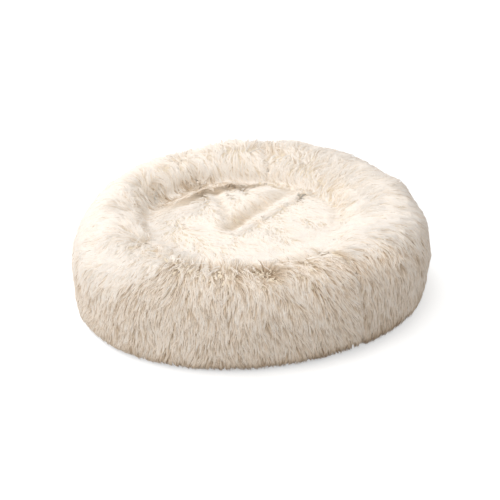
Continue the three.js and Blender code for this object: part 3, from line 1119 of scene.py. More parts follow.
@dataclass(frozen=True)
class PileFinish(Finish):
    """Long-pile finish, coloured from root to tip by each strand's own map."""

    # Root to tip: the dark tan root end is painted shade deep in the pile; the pale end is the
    # fibre's cream.
    root: Colour = (0.56, 0.48, 0.39)
    shank: Colour = (0.86, 0.80, 0.72)
    body: Colour = (0.985, 0.962, 0.926)
    tip: Colour = (1.0, 0.978, 0.950)
    # Tint ramp, multiplied in: tone that differs at random, with pale as painted light on
    # brushed-out pile and deep as painted shade between locks.
    pale: Colour = (0.975, 0.963, 0.957)
    laid: Colour = (1.0, 0.962, 0.928)
    deep: Colour = (0.73, 0.655, 0.58)
    sheen: Colour = (1.0, 0.97, 0.93)

    def inputs(self, tree: Tree) -> dict[str, object]:
        """Values or sockets for the shader, by input.

        Args:
            tree: Nodes of the finish's material.

        Returns:
            The values or sockets.
        """
        uv = tree.add("NodeUVMap", uv_map=BAKE_UV)
        tint, along = tree.add("NodeSeparateXYZ", {0: uv.outputs[0]}).outputs[:2]
        stops = (0.0, self.root), (0.38, self.shank), (0.75, self.body), (1.0, self.tip)
        cast = tree.ramp(tint, (0.0, self.deep), (0.3, self.laid), (0.65, self.pale))
        # The product paints light and shade into the pile's colour.
        return {"Base Color": tree.times(tree.ramp(along, *stops), cast),
                "Roughness": tree.between(along, 0.95, 0.62), "Specular IOR Level": 0.25,
                "Sheen Weight": 0.25, "Sheen Roughness": 0.5, "Sheen Tint": linear(self.sheen)}


@dataclass(frozen=True)
class CloudedFinish(Finish):
    """Finish that varies with one cloud pattern.

    Attributes:
        low: Colour of the darker patches.
        high: Colour of the lighter patches.
        full: Value of the pattern at which the lighter colour is full.
        noise: Inputs of the pattern, by name.
        rough: Roughness at the low and the high end of the pattern.
        relief: Strength and distance of the relief, if there is one.
        specular: Level of the specular reflection.
    """

    low: Colour
    high: Colour
    full: float
    noise: tuple[tuple[str, float], ...]
    rough: Pair
    relief: Optional[Pair] = None
    specular: float = 0.5

    def inputs(self, tree: Tree) -> dict[str, object]:
        """Values or sockets for the shader, by input.

        Args:
            tree: Nodes of the finish's material.

        Returns:
            The values or sockets.
        """
        cloud = tree.noise(tree.spot(), **dict(self.noise))
        low, high = self.rough
        inputs = {"Base Color": tree.ramp(cloud, (0.3, self.low), (self.full, self.high)),
                  "Specular IOR Level": self.specular,
                  "Roughness": low if low == high else tree.between(cloud, low, high)}
        if self.relief:
            inputs["Normal"] = tree.bump(cloud, *self.relief)
        return inputs


@dataclass(frozen=True)
class WovenFinish(Finish):
    """Plain woven cloth or tape."""

    thread: Colour
    # Colour of the painted shade between threads.
    shadow: Colour
    pitch: float = 0.0011
    slub: float = 2.0
    on_cloth_map: bool = False
    worn: Colour = (0.93574, 0.93574, 0.93574)

    def inputs(self, tree: Tree) -> dict[str, object]:
        """Values or sockets for the shader, by input.

        Args:
            tree: Nodes of the finish's material.

        Returns:
            The values or sockets.
        """
        on_map = self.on_cloth_map
        spot = tree.add("NodeUVMap", uv_map=CLOTH_UV).outputs[0] if on_map else tree.spot()
        inputs = {"Vector": spot, "Threads": math.pi / self.pitch, "Slub": self.slub}
        woven = tree.add("NodeGroup", inputs, node_tree=weave_group())
        # Thread colour with painted shade between threads, times random worn patches.
        colour = tree.ramp(woven.outputs["Shade"], (0.0, self.shadow), (0.7, self.thread))
        patch = tree.noise(spot, Scale=22.0, Detail=2.0)
        worn = tree.ramp(patch, (0.35, self.worn), (0.65, (1.0, 1.0, 1.0)))
        relief = tree.bump(woven.outputs["Height"], 0.7, 0.0003)
        return {"Base Color": tree.times(colour, worn), "Roughness": 0.88,
                "Specular IOR Level": 0.2, "Normal": relief}


@dataclass(frozen=True)
class NickelFinish(Finish):
    """Nickel plating with fine wear."""

    bright: Colour = (0.80, 0.79, 0.77)
    dull: Colour = (0.62, 0.61, 0.59)
    brush: tuple[float, float, float] = (400.0, 400.0, 6000.0)

    def inputs(self, tree: Tree) -> dict[str, object]:
        """Values or sockets for the shader, by input.

        Args:
            tree: Nodes of the finish's material.

        Returns:
            The values or sockets.
        """
        spot = tree.spot()
        cloud = tree.noise(spot, Scale=700.0, Detail=5.0)
        stretched = tree.add("NodeMapping", {"Vector": spot, "Scale": self.brush}).outputs[0]
        lines = tree.noise(stretched, Scale=1.0, Detail=3.0)
        return {"Base Color": tree.ramp(cloud, (0.35, self.dull), (0.6, self.bright)),
                "Metallic": 1.0, "Roughness": tree.between(cloud, 0.2, 0.42),
                "Normal": tree.bump(lines, 0.15, 0.0001)}


@dataclass(frozen=True)
class FloorFinish(Finish):
    """Matt white paper, lifted a little where the camera sees it."""

    colour: Colour
    glow: float

    def inputs(self, tree: Tree) -> dict[str, object]:
        """Values or sockets for the shader, by input.

        Args:
            tree: Nodes of the finish's material.

        Returns:
            The values or sockets.
        """
        seen = tree.add("NodeLightPath").outputs["Is Camera Ray"]
        return {"Base Color": self.colour, "Roughness": 1.0, "Specular IOR Level": 0.0,
                "Emission Color": (1, 1, 1),
                "Emission Strength": tree.math("MULTIPLY", seen, self.glow)}


class Wardrobe:
    """Builds each finish once, and dresses pieces with it."""

    def __init__(self) -> None:
        """Start with no materials."""
        self.made: dict[str, bpy.types.Material] = {}

    def dress(self, piece: Piece, finish: Finish) -> Piece:
        """Give a piece one finish.

        Args:
            piece: Piece to dress.
            finish: The finish.

        Returns:
            The piece.
        """
        if finish.name not in self.made:
            self.made[finish.name] = finish.material()
        if piece.material_slots:
            for held in piece.material_slots:
                held.material = self.made[finish.name]
        else:
            piece.data.materials.append(self.made[finish.name])
        return piece


@dataclass(frozen=True)
class ZipLine:
    """Arc and sizes of the zip at the back of the foot, as the CAD part has them."""

    centre: Pair = (0.0427117, -0.0838264)
    radius: float = 0.3273714
    middle: float = math.radians(117.0)
    chain: float = 0.240
    tail: float = 0.028
    tape_foot: float = 0.0037
    tape_height: float = 0.0066
    tape_thickness: float = 0.0009
    coil_width: float = 0.0024
    coil_height: float = 0.0019
    gap: float = 0.0018
    clearance: float = 0.0003
    mid_height: float = 0.0134

    def point(self, offset: Array, height: Array, along: Array) -> Array:
        """Points at an offset out of the arc, a height, and a length from the zip's middle.

        Args:
            offset: Offset out of the arc.
            height: Height.
            along: Length from the zip's middle.

        Returns:
            The points.
        """
        turn = self.middle + along / self.radius
        reach = self.radius + offset
        x = self.centre[0] + reach * np.cos(turn)
        y = self.centre[1] + reach * np.sin(turn)
        return np.stack(np.broadcast_arrays(x, y, height), -1)

    @property
    def reach(self) -> float:
        """Half the length that the pile leaves free."""
        return self.chain / 2 + self.tail + self.clearance

    @property
    def top(self) -> float:
        """Upper edge of the upper tape."""
        return 2 * self.mid_height - self.tape_foot

    def along(self, points: Array) -> Array:
        """Length from the zip's middle at which points lie."""
        turn = np.arctan2(points[..., 1] - self.centre[1], points[..., 0] - self.centre[0])
        return (turn - self.middle) * self.radius


@dataclass
class RimCover:
    """The rim's cover: two backings and the pile that stands on them.

    Places on it are given by the run along its section from the foot, and by azimuth. Tables have
    rows of azimuth in degrees and value.
    """

    form: BedForm
    line: ZipLine
    rows: int = 200
    columns: int = 900
    section_points: int = 80
    margins: Pair = (0.003, 0.004)
    foot_slope: float = 0.75
    corner: tuple[float, ...] = (0.007, 1.2, 0.3)
    cut: PileCut = PileCut(length=0.033, depth=0.0090, spacing=0.0031, row=0.0070, strands=5,
                           radius=0.00056, clump=0.8, lie=18, rise=50, wander=7)
    sectors: int = 5
    foot_band: float = 0.016
    # Painted shade along the foot, by azimuth.
    foot_shade: Table = ((0, 1.25), (30, 1.0), (60, 0.6), (120, 0.3), (190, 0.5), (230, 0.8),
                         (260, 1.1), (290, 1.25))
    foot_flare: Table = ((0, 0.0), (185, 0.0), (205, 0.005), (225, 0.006), (250, 0.003),
                         (280, 0.002), (300, 0.004), (318, 0.006), (338, 0.005), (352, 0.002))
    flare_height: float = 0.06
    lumps: tuple[Ripple, ...] = (Ripple(11, 0.085, 0.0026), Ripple(12, 0.030, 0.0012))
    lumps_from: float = 0.05
    merged: Table = ((0, 0.004), (60, 0.0), (155, 0.0), (185, 0.009), (225, 0.009), (260, 0.004),
                     (330, 0.004))
    lap_most: float = 0.052
    lap_lift: float = 0.001
    lap_bulge: float = 0.17
    lap_ease: float = 0.02
    lap_least: float = 0.003
    lap_uneven: float = 0.6
    ragged: float = 0.85
    ragged_wave: Ripple = Ripple(24, 0.022, 0.55)
    rooted_short: float = 0.024
    row_samples: int = 32
    row_offset: float = 0.5
    jitter: Pair = (0.05, 0.95)
    lowest_root: float = 0.0005
    side_gap: float = 0.002
    hem_gap: float = 0.001
    folds: tuple[Fold, ...] = (
        Fold(((-48.5, 0.0), (-48.5, 0.235)), 0.0045, 0.006, 0.6),
        Fold(((131.5, 0.0), (131.5, 0.235)), 0.0045, 0.003, 0.2),
        Fold(((152.0, 0.262), (164.0, 0.292)), 0.006, 0.006, 0.8),
        Fold(((124.5, 0.256), (120.0, 0.306)), 0.008, 0.005, 0.9),
        Fold(((82.0, 0.205), (74.0, 0.268)), 0.006, 0.005, 0.5),
        Fold(((172.0, 0.278), (177.0, 0.292)), 0.005, 0.003, 0.5),
        Fold(((222.0, 0.235), (229.0, 0.205)), 0.005, 0.004, 0.5),
    )
    swirls: tuple[Swirl, ...] = (
        Swirl(215.0, 0.245, 0.040, -0.9),
        Swirl(276.0, 0.198, 0.026, -0.3, 0.8),
        Swirl(157.0, 0.276, 0.028, 0.9),
        Swirl(123.0, 0.270, 0.026, 0.9),
        Swirl(333.5, 0.143, 0.016, 0.2, 0.9),
    )
    fold_reach: float = 1.5
    wall_radius: float = 0.27
    inner_radius: float = 0.23
    inner_from: float = 0.15
    swirl_radius: float = 0.22
    swirl_mess: float = 0.45
    # Place and size of the tangle, and its painted shade.
    tangle: Pair = (277, 0.193)
    tangle_size: Pair = (5.5, 0.014)
    tangle_shade: float = 0.45
    sway: tuple[Ripple, ...] = (Ripple(22, 0.055, 13), Ripple(23, 0.022, 7.8))
    parting: Table = ((270, 0.204), (300, 0.214), (330, 0.245), (0, 0.270), (30, 0.268),
                      (55, 0.235), (75, 0.212), (110, 0.208), (140, 0.222), (165, 0.240),
                      (190, 0.248), (215, 0.240), (240, 0.210))
    parting_wave: Ripple = Ripple(21, 0.05, 0.004)
    parting_blend: float = 0.018
    parting_draw: Pair = (0.45, 0.55)
    lean_share: Pair = (0.55, 0.45)
    lean_reach: float = 0.12
    outer_lean: Table = ((255, 0), (270, 8), (290, 17), (309, 24), (313, -6), (340, -8), (0, 0),
                         (90, 0), (180, -6), (210, -16), (235, -9))
    inner_lean: Table = ((0, 0), (40, -20), (60, -38), (110, -34), (140, -20), (180, 0), (270, 0))
    # Where the pile is brushed out, which also paints it lighter.
    loose: Table = ((0, 0.105), (60, 0.09), (90, 0.09), (150, 0.08), (195, 0.06), (222, 0.09),
                    (238, 0.19), (300, 0.20), (320, 0.165), (345, 0.12))
    loose_ramp: Table = ((0, 0.09), (200, 0.08), (235, 0.035), (300, 0.04), (330, 0.09))
    loose_most: float = 0.7
    loose_inside: float = 0.2
    loose_side: float = -1.0
    loose_ends: Pair = (0.2, 0.7)
    loose_mess: float = 0.2
    loose_sway: float = 1.2
    standing: float = 0.45
    standing_side: float = 0.1
    standing_ends: Pair = (math.cos(math.radians(75)), 0.7)
    standing_runs: Pair = (0.20, 0.25)
    pucker_middle: float = math.radians(134)
    pucker_ends: Pair = (math.cos(math.radians(52)), math.cos(math.radians(22)))
    pucker_start: float = 0.262
    pucker_ease: float = 0.016
    pucker_mess: float = 0.25
    pucker_laid: float = 0.5
    pucker_wave: Ripple = Ripple(26, 0.05, 0.012)
    # Painted shade in the puckers, uneven along them.
    pucker_shade: Ripple = Ripple(25, 0.022, 0.5)
    # Painted shade where the seam lies open, and its reach.
    seam_shade: float = 0.25
    seam_reach: float = 0.016
    hem_run: Table = ((0, 0.003), (20, 0.0015), (200, 0.0012), (255, 0.0015), (285, 0.005),
                      (305, 0.008), (340, 0.007))
    zip_run: float = 0.0235
    zip_ease: Pair = (0.002, 0.008)
    zip_look: float = 0.01
    # Reach and share of the painted shade above the foot.
    foot_dim: tuple[Pair, Pair] = ((0.019, 1.0), (0.055, 0.3))
    backing_faces: tuple[int, int] = (150, 46)
    backing_thickness: float = 0.0035
    backing_turn: float = 0.0015
    backing_hem: float = 0.0015
    backing_rise: float = 0.001
    backing_top: float = 0.12
    seed: int = 100
    side_seeds: int = 10
    foot_seed: int = 150

    def __post_init__(self) -> None:
        """Shape the ground that carries the pile."""
        form = self.form
        radius, height, run = form.rim_section(self.section_points)
        self.run = float(run[-1])
        below, above = self.margins
        a = np.linspace(-below, self.run + self.lap_most + above, self.rows)
        b = np.arange(self.columns) * FULL_TURN / self.columns
        out, up = np.interp(a, run, radius)[:, None], np.interp(a, run, height)
        up = np.where(a < 0, up + a * self.foot_slope, up)[:, None]
        points = form.place(*form.dented(out, form.lift_seam(out, up, b), b), b)
        past = np.maximum(a - self.run, 0)[:, None]
        inner = form.seam_radius - past
        share = inner / form.seam_radius
        lift = (self.lap_lift + self.lap_bulge * form.lap(b)) * smooth_step(0, self.lap_ease, past)
        lap = form.cushion_top(share * np.cos(b), share * np.sin(b)) + lift
        points = np.where(past[..., None] > 0, form.place(inner, lap, b), points)
        points = self.ease_corner(points, a, b)
        self.ground = Ground(points, (a[0], 0.0), (a[1] - a[0], b[1]), True)
        self.press(*np.meshgrid(a, b, indexing="ij"))

    def ease_corner(self, points: Array, a: Array, b: Array) -> Array:
        """Round the corner between the rim's inner wall and the cushion, as the pile fills it.

        Args:
            points: Points of the ground.
            a: Runs of its rows.
            b: Azimuths of its columns.

        Returns:
            The eased points.
        """
        form = self.form
        least, lifted, lapped = self.corner
        reach = least + lifted * form.seam_lift(b) + lapped * form.lap(b)
        reach = reach + round_table(self.merged, b)
        middle = int(np.argmin(np.abs(a - self.run)))
        eased = points.copy()
        for column, half in enumerate(reach):
            rows = max(2, round(half / (a[1] - a[0])))
            first, last = middle - rows, min(middle + rows, len(a) - 1)
            t = np.linspace(0, 1, last - first + 1)[:, None]
            p, q, r = points[[first, middle, last], column]
            eased[first:last + 1, column] = p * (1 - t) ** 2 + 2 * q * t * (1 - t) + r * t * t
        return eased

    def press(self, a: Array, b: Array) -> None:
        """Press folds and slow lumps into the ground, and let it hang loose of the foot.

        Args:
            a: Runs of the ground's points.
            b: Azimuths of the ground's points.
        """
        ground = self.ground
        dent = np.zeros(a.shape)
        for fold in self.folds:
            dent += fold.depth * bell(self.distance(fold, a, b), fold.width)
        lumps = sum(ripple.at(ground.points) for ripple in self.lumps)
        raised = lumps * smooth_step(0.0, self.lumps_from, a) - dent
        ground.points = ground.points + ground.normals * raised[..., None]
        out = round_table(self.foot_flare, b) * (1 - smooth_step(0.0, self.flare_height, a))
        outward = unit(ground.points * np.array([1.0, 1.0, 0.0]))
        ground.points = ground.points + outward * out[..., None]
        ground.refresh()

    def distance(self, fold: Fold, a: Array, b: Array) -> Array:
        """Distance along the surface from places to a fold's line.

        Args:
            fold: The fold.
            a: Runs of the places.
            b: Azimuths of the places.

        Returns:
            The distances.
        """
        (deg0, run0), (deg1, run1) = fold.ends
        inside = min(run0, run1) > self.inner_from
        mean = self.inner_radius if inside else self.wall_radius
        arc = degrees_past(b, deg0) * math.radians(1) * mean
        ex, ey = math.radians(deg1 - deg0) * mean, run1 - run0
        along = np.clip((arc * ex + (a - run0) * ey) / (ex * ex + ey * ey), 0, 1)
        return np.hypot(arc - along * ex, a - run0 - along * ey)

    def low(self, azimuth: Array) -> Array:
        """Lowest run that the pile reaches at an azimuth: the foot, or the zip's upper side.

        Args:
            azimuth: Azimuths in radians.

        Returns:
            The lowest runs.
        """
        foot = self.form.place(np.array(self.form.foot_radius), np.array(self.zip_look), azimuth)
        past = np.abs(self.line.along(foot)) - self.line.reach
        over_zip = (1 - smooth_step(*self.zip_ease, past)) * self.zip_run
        return np.maximum(round_table(self.hem_run, azimuth), over_zip)

    def scatter(self, rng: np.random.Generator, start: float, end: float) -> tuple[Array, Array]:
        """Evenly scattered roots between two azimuths.

        Args:
            rng: Source of their unevenness.
            start: First azimuth.
            end: Last azimuth.

        Returns:
            Runs and azimuths of the roots.
        """
        cut = self.cut
        runs, azimuths = [], []
        across = np.linspace(start, end, self.row_samples)
        rows = np.arange(0.0, self.run + self.lap_most - self.rooted_short, cut.row)
        for k, row in enumerate(rows):
            reach = self.ground.read(self.ground.reach, np.full(len(across), row), across)
            count = max(3, round(float(reach[:, 1].mean()) * (end - start) / cut.spacing))
            place = np.arange(count) + self.row_offset * (k % 2)
            place = place + rng.uniform(*self.jitter, count) - self.row_offset / 2
            azimuths.append(start + place * ((end - start) / count))
            runs.append(row + rng.uniform(-0.5, 0.5, count) * cut.row)
        run = np.maximum(np.concatenate(runs), self.lowest_root)
        azimuth = np.concatenate(azimuths)
        azimuth = np.clip(azimuth, start + self.side_gap, end - self.side_gap)
        last = self.run + np.maximum(self.form.lap(azimuth) - self.rooted_short, 0)
        keep = (run > self.low(azimuth) + self.hem_gap) & (run < last)
        return run[keep], azimuth[keep]

    def comb(self, a: Array, b: Array, rng: np.random.Generator) -> Tufts:
        """Ways of tufts with their roots at those places.

        Args:
            a: Runs of the roots.
            b: Azimuths of the roots.
            rng: Source of the tufts that fall over the parting.

        Returns:
            The tufts.
        """
        points = self.ground.at(a, b, 0.0)
        fluff, pucker = self.fluff(a, b), self.puckers(a, b, points)
        parting = round_table(self.parting, b) + self.parting_wave.at(points)
        side = np.tanh((parting - a) / self.parting_blend)
        draw = self.parting_draw[0] + self.parting_draw[1] * np.abs(side)
        side = np.where(rng.uniform(-1, 1, a.shape) < side, 1, -1) * draw
        lean = np.where(side > 0, round_table(self.outer_lean, b), round_table(self.inner_lean, b))
        far = smooth_step(0.0, self.lean_reach, np.abs(parting - a))
        lean = lean * (self.lean_share[0] + self.lean_share[1] * far)
        sway = sum(ripple.at(points) for ripple in self.sway)
        turn = np.radians(lean + sway * (1 + self.loose_sway * fluff))
        way_a, way_b = -side * np.cos(turn), np.sin(turn)

        (degrees, run), (wide, tall) = self.tangle, self.tangle_size
        tangle = bell(degrees_past(b, degrees), wide) * bell(a - run, tall)
        mess = np.maximum.reduce([tangle, self.pucker_mess * pucker, self.loose_mess * fluff])
        # Painted shade: along the open seam, in the tangle, in folds and in puckers.
        shade = self.seam_shade * bell(a - self.run, self.seam_reach) * self.form.bare_seam(b)
        shade = np.maximum(shade, self.tangle_shade * tangle)
        for swirl in self.swirls:
            dx = degrees_past(b, swirl.azimuth) * math.radians(1) * self.swirl_radius
            dy = a - swirl.run
            far = np.hypot(dx, dy) + 1e-6
            weight = bell(far, swirl.size)
            way_a = way_a - weight * (swirl.draw * dy - swirl.spin * dx) / far
            way_b = way_b - weight * (swirl.draw * dx + swirl.spin * dy) / far
            mess = np.maximum(mess, weight * self.swirl_mess)
        for fold in self.folds:
            near = bell(self.distance(fold, a, b), self.fold_reach * fold.width)
            shade = np.maximum(shade, fold.shade * near)
        shade = np.maximum(shade, pucker * (self.pucker_shade.size + self.pucker_shade.at(points)))
        way, size = headed(way_a, way_b)
        inside = smooth_step(*self.standing_ends, np.cos(b - self.standing_side))
        inside = self.standing * (smooth_step(*self.standing_runs, a) * inside)
        stand = np.maximum(np.clip(1 - size, 0, 1), inside)
        fluff = fluff * (1 - self.pucker_laid * pucker)
        return Tufts(a, b, way, stand, mess, fluff, np.clip(shade, 0, 1))

    def dim(self, a: Array, b: Array) -> Array:
        """Painted shade near the foot, where little light reaches.

        Args:
            a: Runs of the places.
            b: Azimuths of the places.

        Returns:
            Share of the light that is kept away, 0 for none.
        """
        above = a - round_table(self.hem_run, b)
        near = sum(share * (1 - smooth_step(0.0, reach, above)) for reach, share in self.foot_dim)
        return round_table(self.foot_shade, b) * near

    def puckers(self, a: Array, b: Array, points: Array) -> Array:
        """Share, 0 to 1, to which the cover is gathered above the seam at the back left.

        Args:
            a: Runs of the places.
            b: Azimuths of the places.
            points: Points of the places.

        Returns:
            The shares.
        """
        start = self.pucker_start + self.pucker_wave.at(points)
        reach = smooth_step(*self.pucker_ends, np.cos(b - self.pucker_middle))
        return reach * smooth_step(start, start + self.pucker_ease, a)

    def fluff(self, a: Array, b: Array) -> Array:
        """How brushed out the pile is: laid on the outer wall, loose on the crest and inside.

        Args:
            a: Runs of the places.
            b: Azimuths of the places.

        Returns:
            The shares, 0 to 1.
        """
        # Brushed-out pile is also painted lighter, through its tint and its map.
        start = round_table(self.loose, b)
        inside = smooth_step(*self.loose_ends, np.cos(b - self.loose_side))
        most = self.loose_most + self.loose_inside * inside
        return most * smooth_step(start, start + round_table(self.loose_ramp, b), a)

    def hem(self, azimuth: Array, root: Array, want: Array) -> Array:
        """Run left to strands before the foot or the ragged edge of the lap stops them.

        Args:
            azimuth: Azimuths of the tufts.
            root: Runs of the strands' roots.
            want: Runs that the strands would take.

        Returns:
            The runs that they get.
        """
        down = np.maximum(want, np.minimum(self.low(azimuth)[:, None] - root, 0))
        points = self.ground.at(root[:, 0], azimuth, 0.0)
        ragged = self.ragged + self.ragged_wave.at(points)
        ends = np.clip(self.form.lap(azimuth) * ragged, self.lap_least, self.lap_most)[:, None]
        ends = ends * np.random.default_rng(len(root)).uniform(self.lap_uneven, 1.0, root.shape)
        return np.where(want < 0, down, np.minimum(want, np.maximum(self.run + ends - root, 0)))

    def backing(self, name: str, start: float, node: str) -> Piece:
        """Padded backing cloth of one half of the rim.

        Args:
            name: Name of the piece.
            start: Azimuth at which the half starts.
            node: CAD node that the half stands for.

        Returns:
            The piece.
        """
        piece, across, up = flat_grid(name, *self.backing_faces)
        azimuth = start + self.backing_turn + across * (math.pi - 2 * self.backing_turn)
        low = np.maximum(self.low(azimuth) + self.backing_hem, 2 * self.backing_hem)
        run = low + up * (self.run - low)
        height = self.backing_rise - self.cut.depth
        move_vertices(piece, self.ground.at(run, azimuth, height))
        mend(piece)
        faces = piece.data.polygons
        if sum(face.normal.z for face in faces if face.center.z > self.backing_top) < 0:
            piece.data.flip_normals()
        finish_with(piece, "SOLIDIFY", thickness=self.backing_thickness, offset=-1.0)
        smooth(piece)
        place_on_bed(piece, Body.BED, node)
        return piece

    def pile(self, name: str, start: float, end: float, seed: int, node: str,
             foot: bool = False) -> Piece:
        """Pile of one sector of the rim.

        Args:
            name: Name of the piece.
            start: First azimuth.
            end: Last azimuth.
            seed: Seed of the strands.
            node: CAD node that the pile stands for.
            foot: Whether this is the dense pile along the foot, and not the pile above it.

        Returns:
            The piece.
        """
        rng = np.random.default_rng(seed)
        a, b = self.scatter(rng, start, end)
        keep = (a < self.foot_band) == foot
        tufts = self.comb(a[keep], b[keep], rng)
        hem = partial(self.hem, tufts.b)
        strands = Growth().grow(self.ground, tufts, self.cut, hem, self.dim, rng)
        return strands.piece(name, node, foot)

    def build(self, wardrobe: Wardrobe, fur: Finish, cloth: Finish) -> list[Piece]:
        """Build and dress the whole cover of the rim.

        Args:
            wardrobe: Keeper of the finishes.
            fur: Finish of the pile.
            cloth: Finish of the backings.

        Returns:
            The pieces.
        """
        pieces = []
        step = math.pi / self.sectors
        for half, side in enumerate(("right", "left")):
            first, node = self.form.cross_seam + half * math.pi, f"rim_fur_{side}"
            pieces.append(wardrobe.dress(self.backing(f"rim_backing_{side}", first, node), cloth))
            name, seed = f"rim_foot_pile_{side}", self.foot_seed + half
            foot = self.pile(name, first, first + math.pi, seed, node, True)
            pieces.append(wardrobe.dress(foot, fur))
            for k in range(self.sectors):
                start, end = first + k * step, first + (k + 1) * step
                seed = self.seed + self.side_seeds * half + k
                sector = self.pile(f"rim_pile_{side}_{k + 1}", start, end, seed, node)
                pieces.append(wardrobe.dress(sector, fur))
        return pieces


@dataclass
class CushionCover:
    """The centre cushion's cover: a crowned backing and the pile on it.

    Places on it are x and y in shares of the seam radius.
    """

    form: BedForm
    cells: int = 161
    extent: float = 1.12
    lumps: Ripple = Ripple(31, 0.05, 0.0012)
    sway: Ripple = Ripple(32, 0.06, math.radians(30))
    comb_way: float = math.radians(-68)
    comb_draw: float = 0.8
    downhill: float = 3.2
    # Brushed out, which also paints the pile lighter.
    fluff: float = 0.85
    mess: float = 0.05
    # Painted shade of each crease arm: strength, and reach on either side of its line.
    crease_shades: tuple[tuple[float, float, float], ...] = (
        (0.5, 0.006, 0.008), (0.8, 0.018, 0.006), (0.15, 0.006, 0.006),
    )
    # Reach of the painted shade under the rim's overhang.
    seam_shade: float = 0.008
    covered_short: float = 0.027
    edge_gap: float = 0.0015
    jitter: float = 0.48
    belly: float = 0.004
    thinnest: float = 0.002
    edge_powers: Pair = (6, 0.4)
    pad_inset: float = 0.001
    stand: Pair = (0.35, 0.5)
    stand_ends: Pair = (0.05, 0.3)
    crease_fade: float = 0.5
    cut: PileCut = PileCut(length=0.031, depth=0.0090, spacing=0.0042, row=0.0042, strands=4,
                           radius=0.0006, clump=0.55, lie=20, rise=40, wander=12)

    def __post_init__(self) -> None:
        """Shape the ground that carries the pile."""
        form = self.form
        line = np.linspace(-self.extent, self.extent, self.cells)
        x, y = np.meshgrid(line, line, indexing="ij")
        radius, height = np.hypot(x, y) * form.seam_radius, form.cushion_top(x, y)
        points = form.place(radius, height, np.arctan2(y, x))
        step = line[1] - line[0]
        self.ground = Ground(points, (line[0], line[0]), (step, step), False)
        self.ground.points = points + self.ground.normals * self.lumps.at(points)[..., None]
        self.ground.refresh()

    def backing(self, name: str) -> Piece:
        """Padded crowned pad under the cushion's pile.

        Args:
            name: Name of the piece.

        Returns:
            The piece.
        """
        form = self.form
        piece = primitive(name, bpy.ops.mesh.primitive_uv_sphere_add,
                          segments=96, ring_count=48, radius=1.0)
        across, along, side = coordinates(piece).T
        share = np.clip(np.hypot(across, along), 0, 1)
        azimuth = np.arctan2(along, across)
        under = form.seam_height - form.seam_edge_depth + self.belly * (1 - share ** 2)
        top = form.cushion_top(share * np.cos(azimuth), share * np.sin(azimuth)) - self.cut.depth
        top = np.maximum(top, under + self.thinnest)
        middle = (top + under) / 2
        across_power, side_power = self.edge_powers
        full = np.maximum(1 - share ** across_power, np.abs(side) ** side_power)
        height = middle + np.sign(side) * (top - under) / 2 * full
        height = np.where(np.abs(side) < 1e-4, middle, height)
        radius = share * (form.seam_radius - self.pad_inset)
        move_vertices(piece, form.place(radius, height, azimuth))
        smooth(piece)
        place_on_bed(piece, Body.BED, "centre_fur")
        return piece

    def comb(self, x: Array, y: Array) -> Tufts:
        """Ways of tufts: downhill, with slow swirls.

        Args:
            x: First place of the roots.
            y: Second place of the roots.

        Returns:
            The tufts.
        """
        normal = self.ground.read(self.ground.normals, x, y)
        base = self.comb_way + self.sway.at(self.ground.at(x, y, 0.0))
        way_x = self.comb_draw * np.cos(base) + self.downhill * normal[:, 0]
        way_y = self.comb_draw * np.sin(base) + self.downhill * normal[:, 1]
        way, size = headed(way_x, way_y)
        stand = np.clip(self.stand[0] - self.stand[1] * size, *self.stand_ends)
        mess, fluff, shade = (np.full(x.shape, value) for value in (self.mess, self.fluff, 0.0))
        return Tufts(x, y, way, stand, mess, fluff, shade)

    def dim(self, x: Array, y: Array) -> Array:
        """Painted shade in the creases and under the rim's overhang, where little light reaches.

        Args:
            x: First share of the seam radius.
            y: Second share of the seam radius.

        Returns:
            Share of the light that is kept away, 0 for none.
        """
        shade = np.zeros(x.shape)
        for arm, (deep, far, near) in enumerate(self.crease_shades):
            gap, along, side = self.form.arm(arm, x, y)
            dark = deep * bell(gap, np.where(side < 0, far, near))
            shade = np.maximum(shade, dark * (1 - self.crease_fade * along))
        azimuth = np.arctan2(y, x)
        past = (1 - np.hypot(x, y)) * self.form.seam_radius - self.form.lap(azimuth)
        seam = self.form.bare_seam(azimuth) * bell(np.maximum(past, 0), self.seam_shade)
        return np.maximum(shade, seam)

    def pile(self, name: str, seed: int, left: bool) -> Piece:
        """Pile of one half of the cushion.

        Args:
            name: Name of the piece.
            seed: Seed of the strands.
            left: Whether it is the left half.

        Returns:
            The piece.
        """
        rng = np.random.default_rng(seed)
        gap = self.cut.spacing / self.form.seam_radius
        line = np.arange(-1.0, 1.0 + gap, gap)
        least, most = -self.jitter, self.jitter
        x, y = (g.ravel() + rng.uniform(least, most, g.size) * gap for g in np.meshgrid(line, line))
        inside = (1 - np.hypot(x, y)) * self.form.seam_radius
        covered = self.form.lap(np.arctan2(y, x)) - self.covered_short
        keep = inside > np.maximum(covered, self.edge_gap)
        keep &= (x < self.form.crease_junction[0]) == left
        tufts = self.comb(x[keep], y[keep])
        strands = Growth().grow(
            self.ground, tufts, self.cut, lambda root, want: want, self.dim, rng)
        return strands.piece(name, "centre_fur")

    def build(self, wardrobe: Wardrobe, fur: Finish, cloth: Finish) -> list[Piece]:
        """Build and dress the cushion's cover.

        Args:
            wardrobe: Keeper of the finishes.
            fur: Finish of the pile.
            cloth: Finish of the pad.

        Returns:
            The pieces.
        """
        return [
            wardrobe.dress(self.backing("cushion_backing"), cloth),
            wardrobe.dress(self.pile("cushion_pile_left", 300, True), fur),
            wardrobe.dress(self.pile("cushion_pile_right", 301, False), fur),
        ]


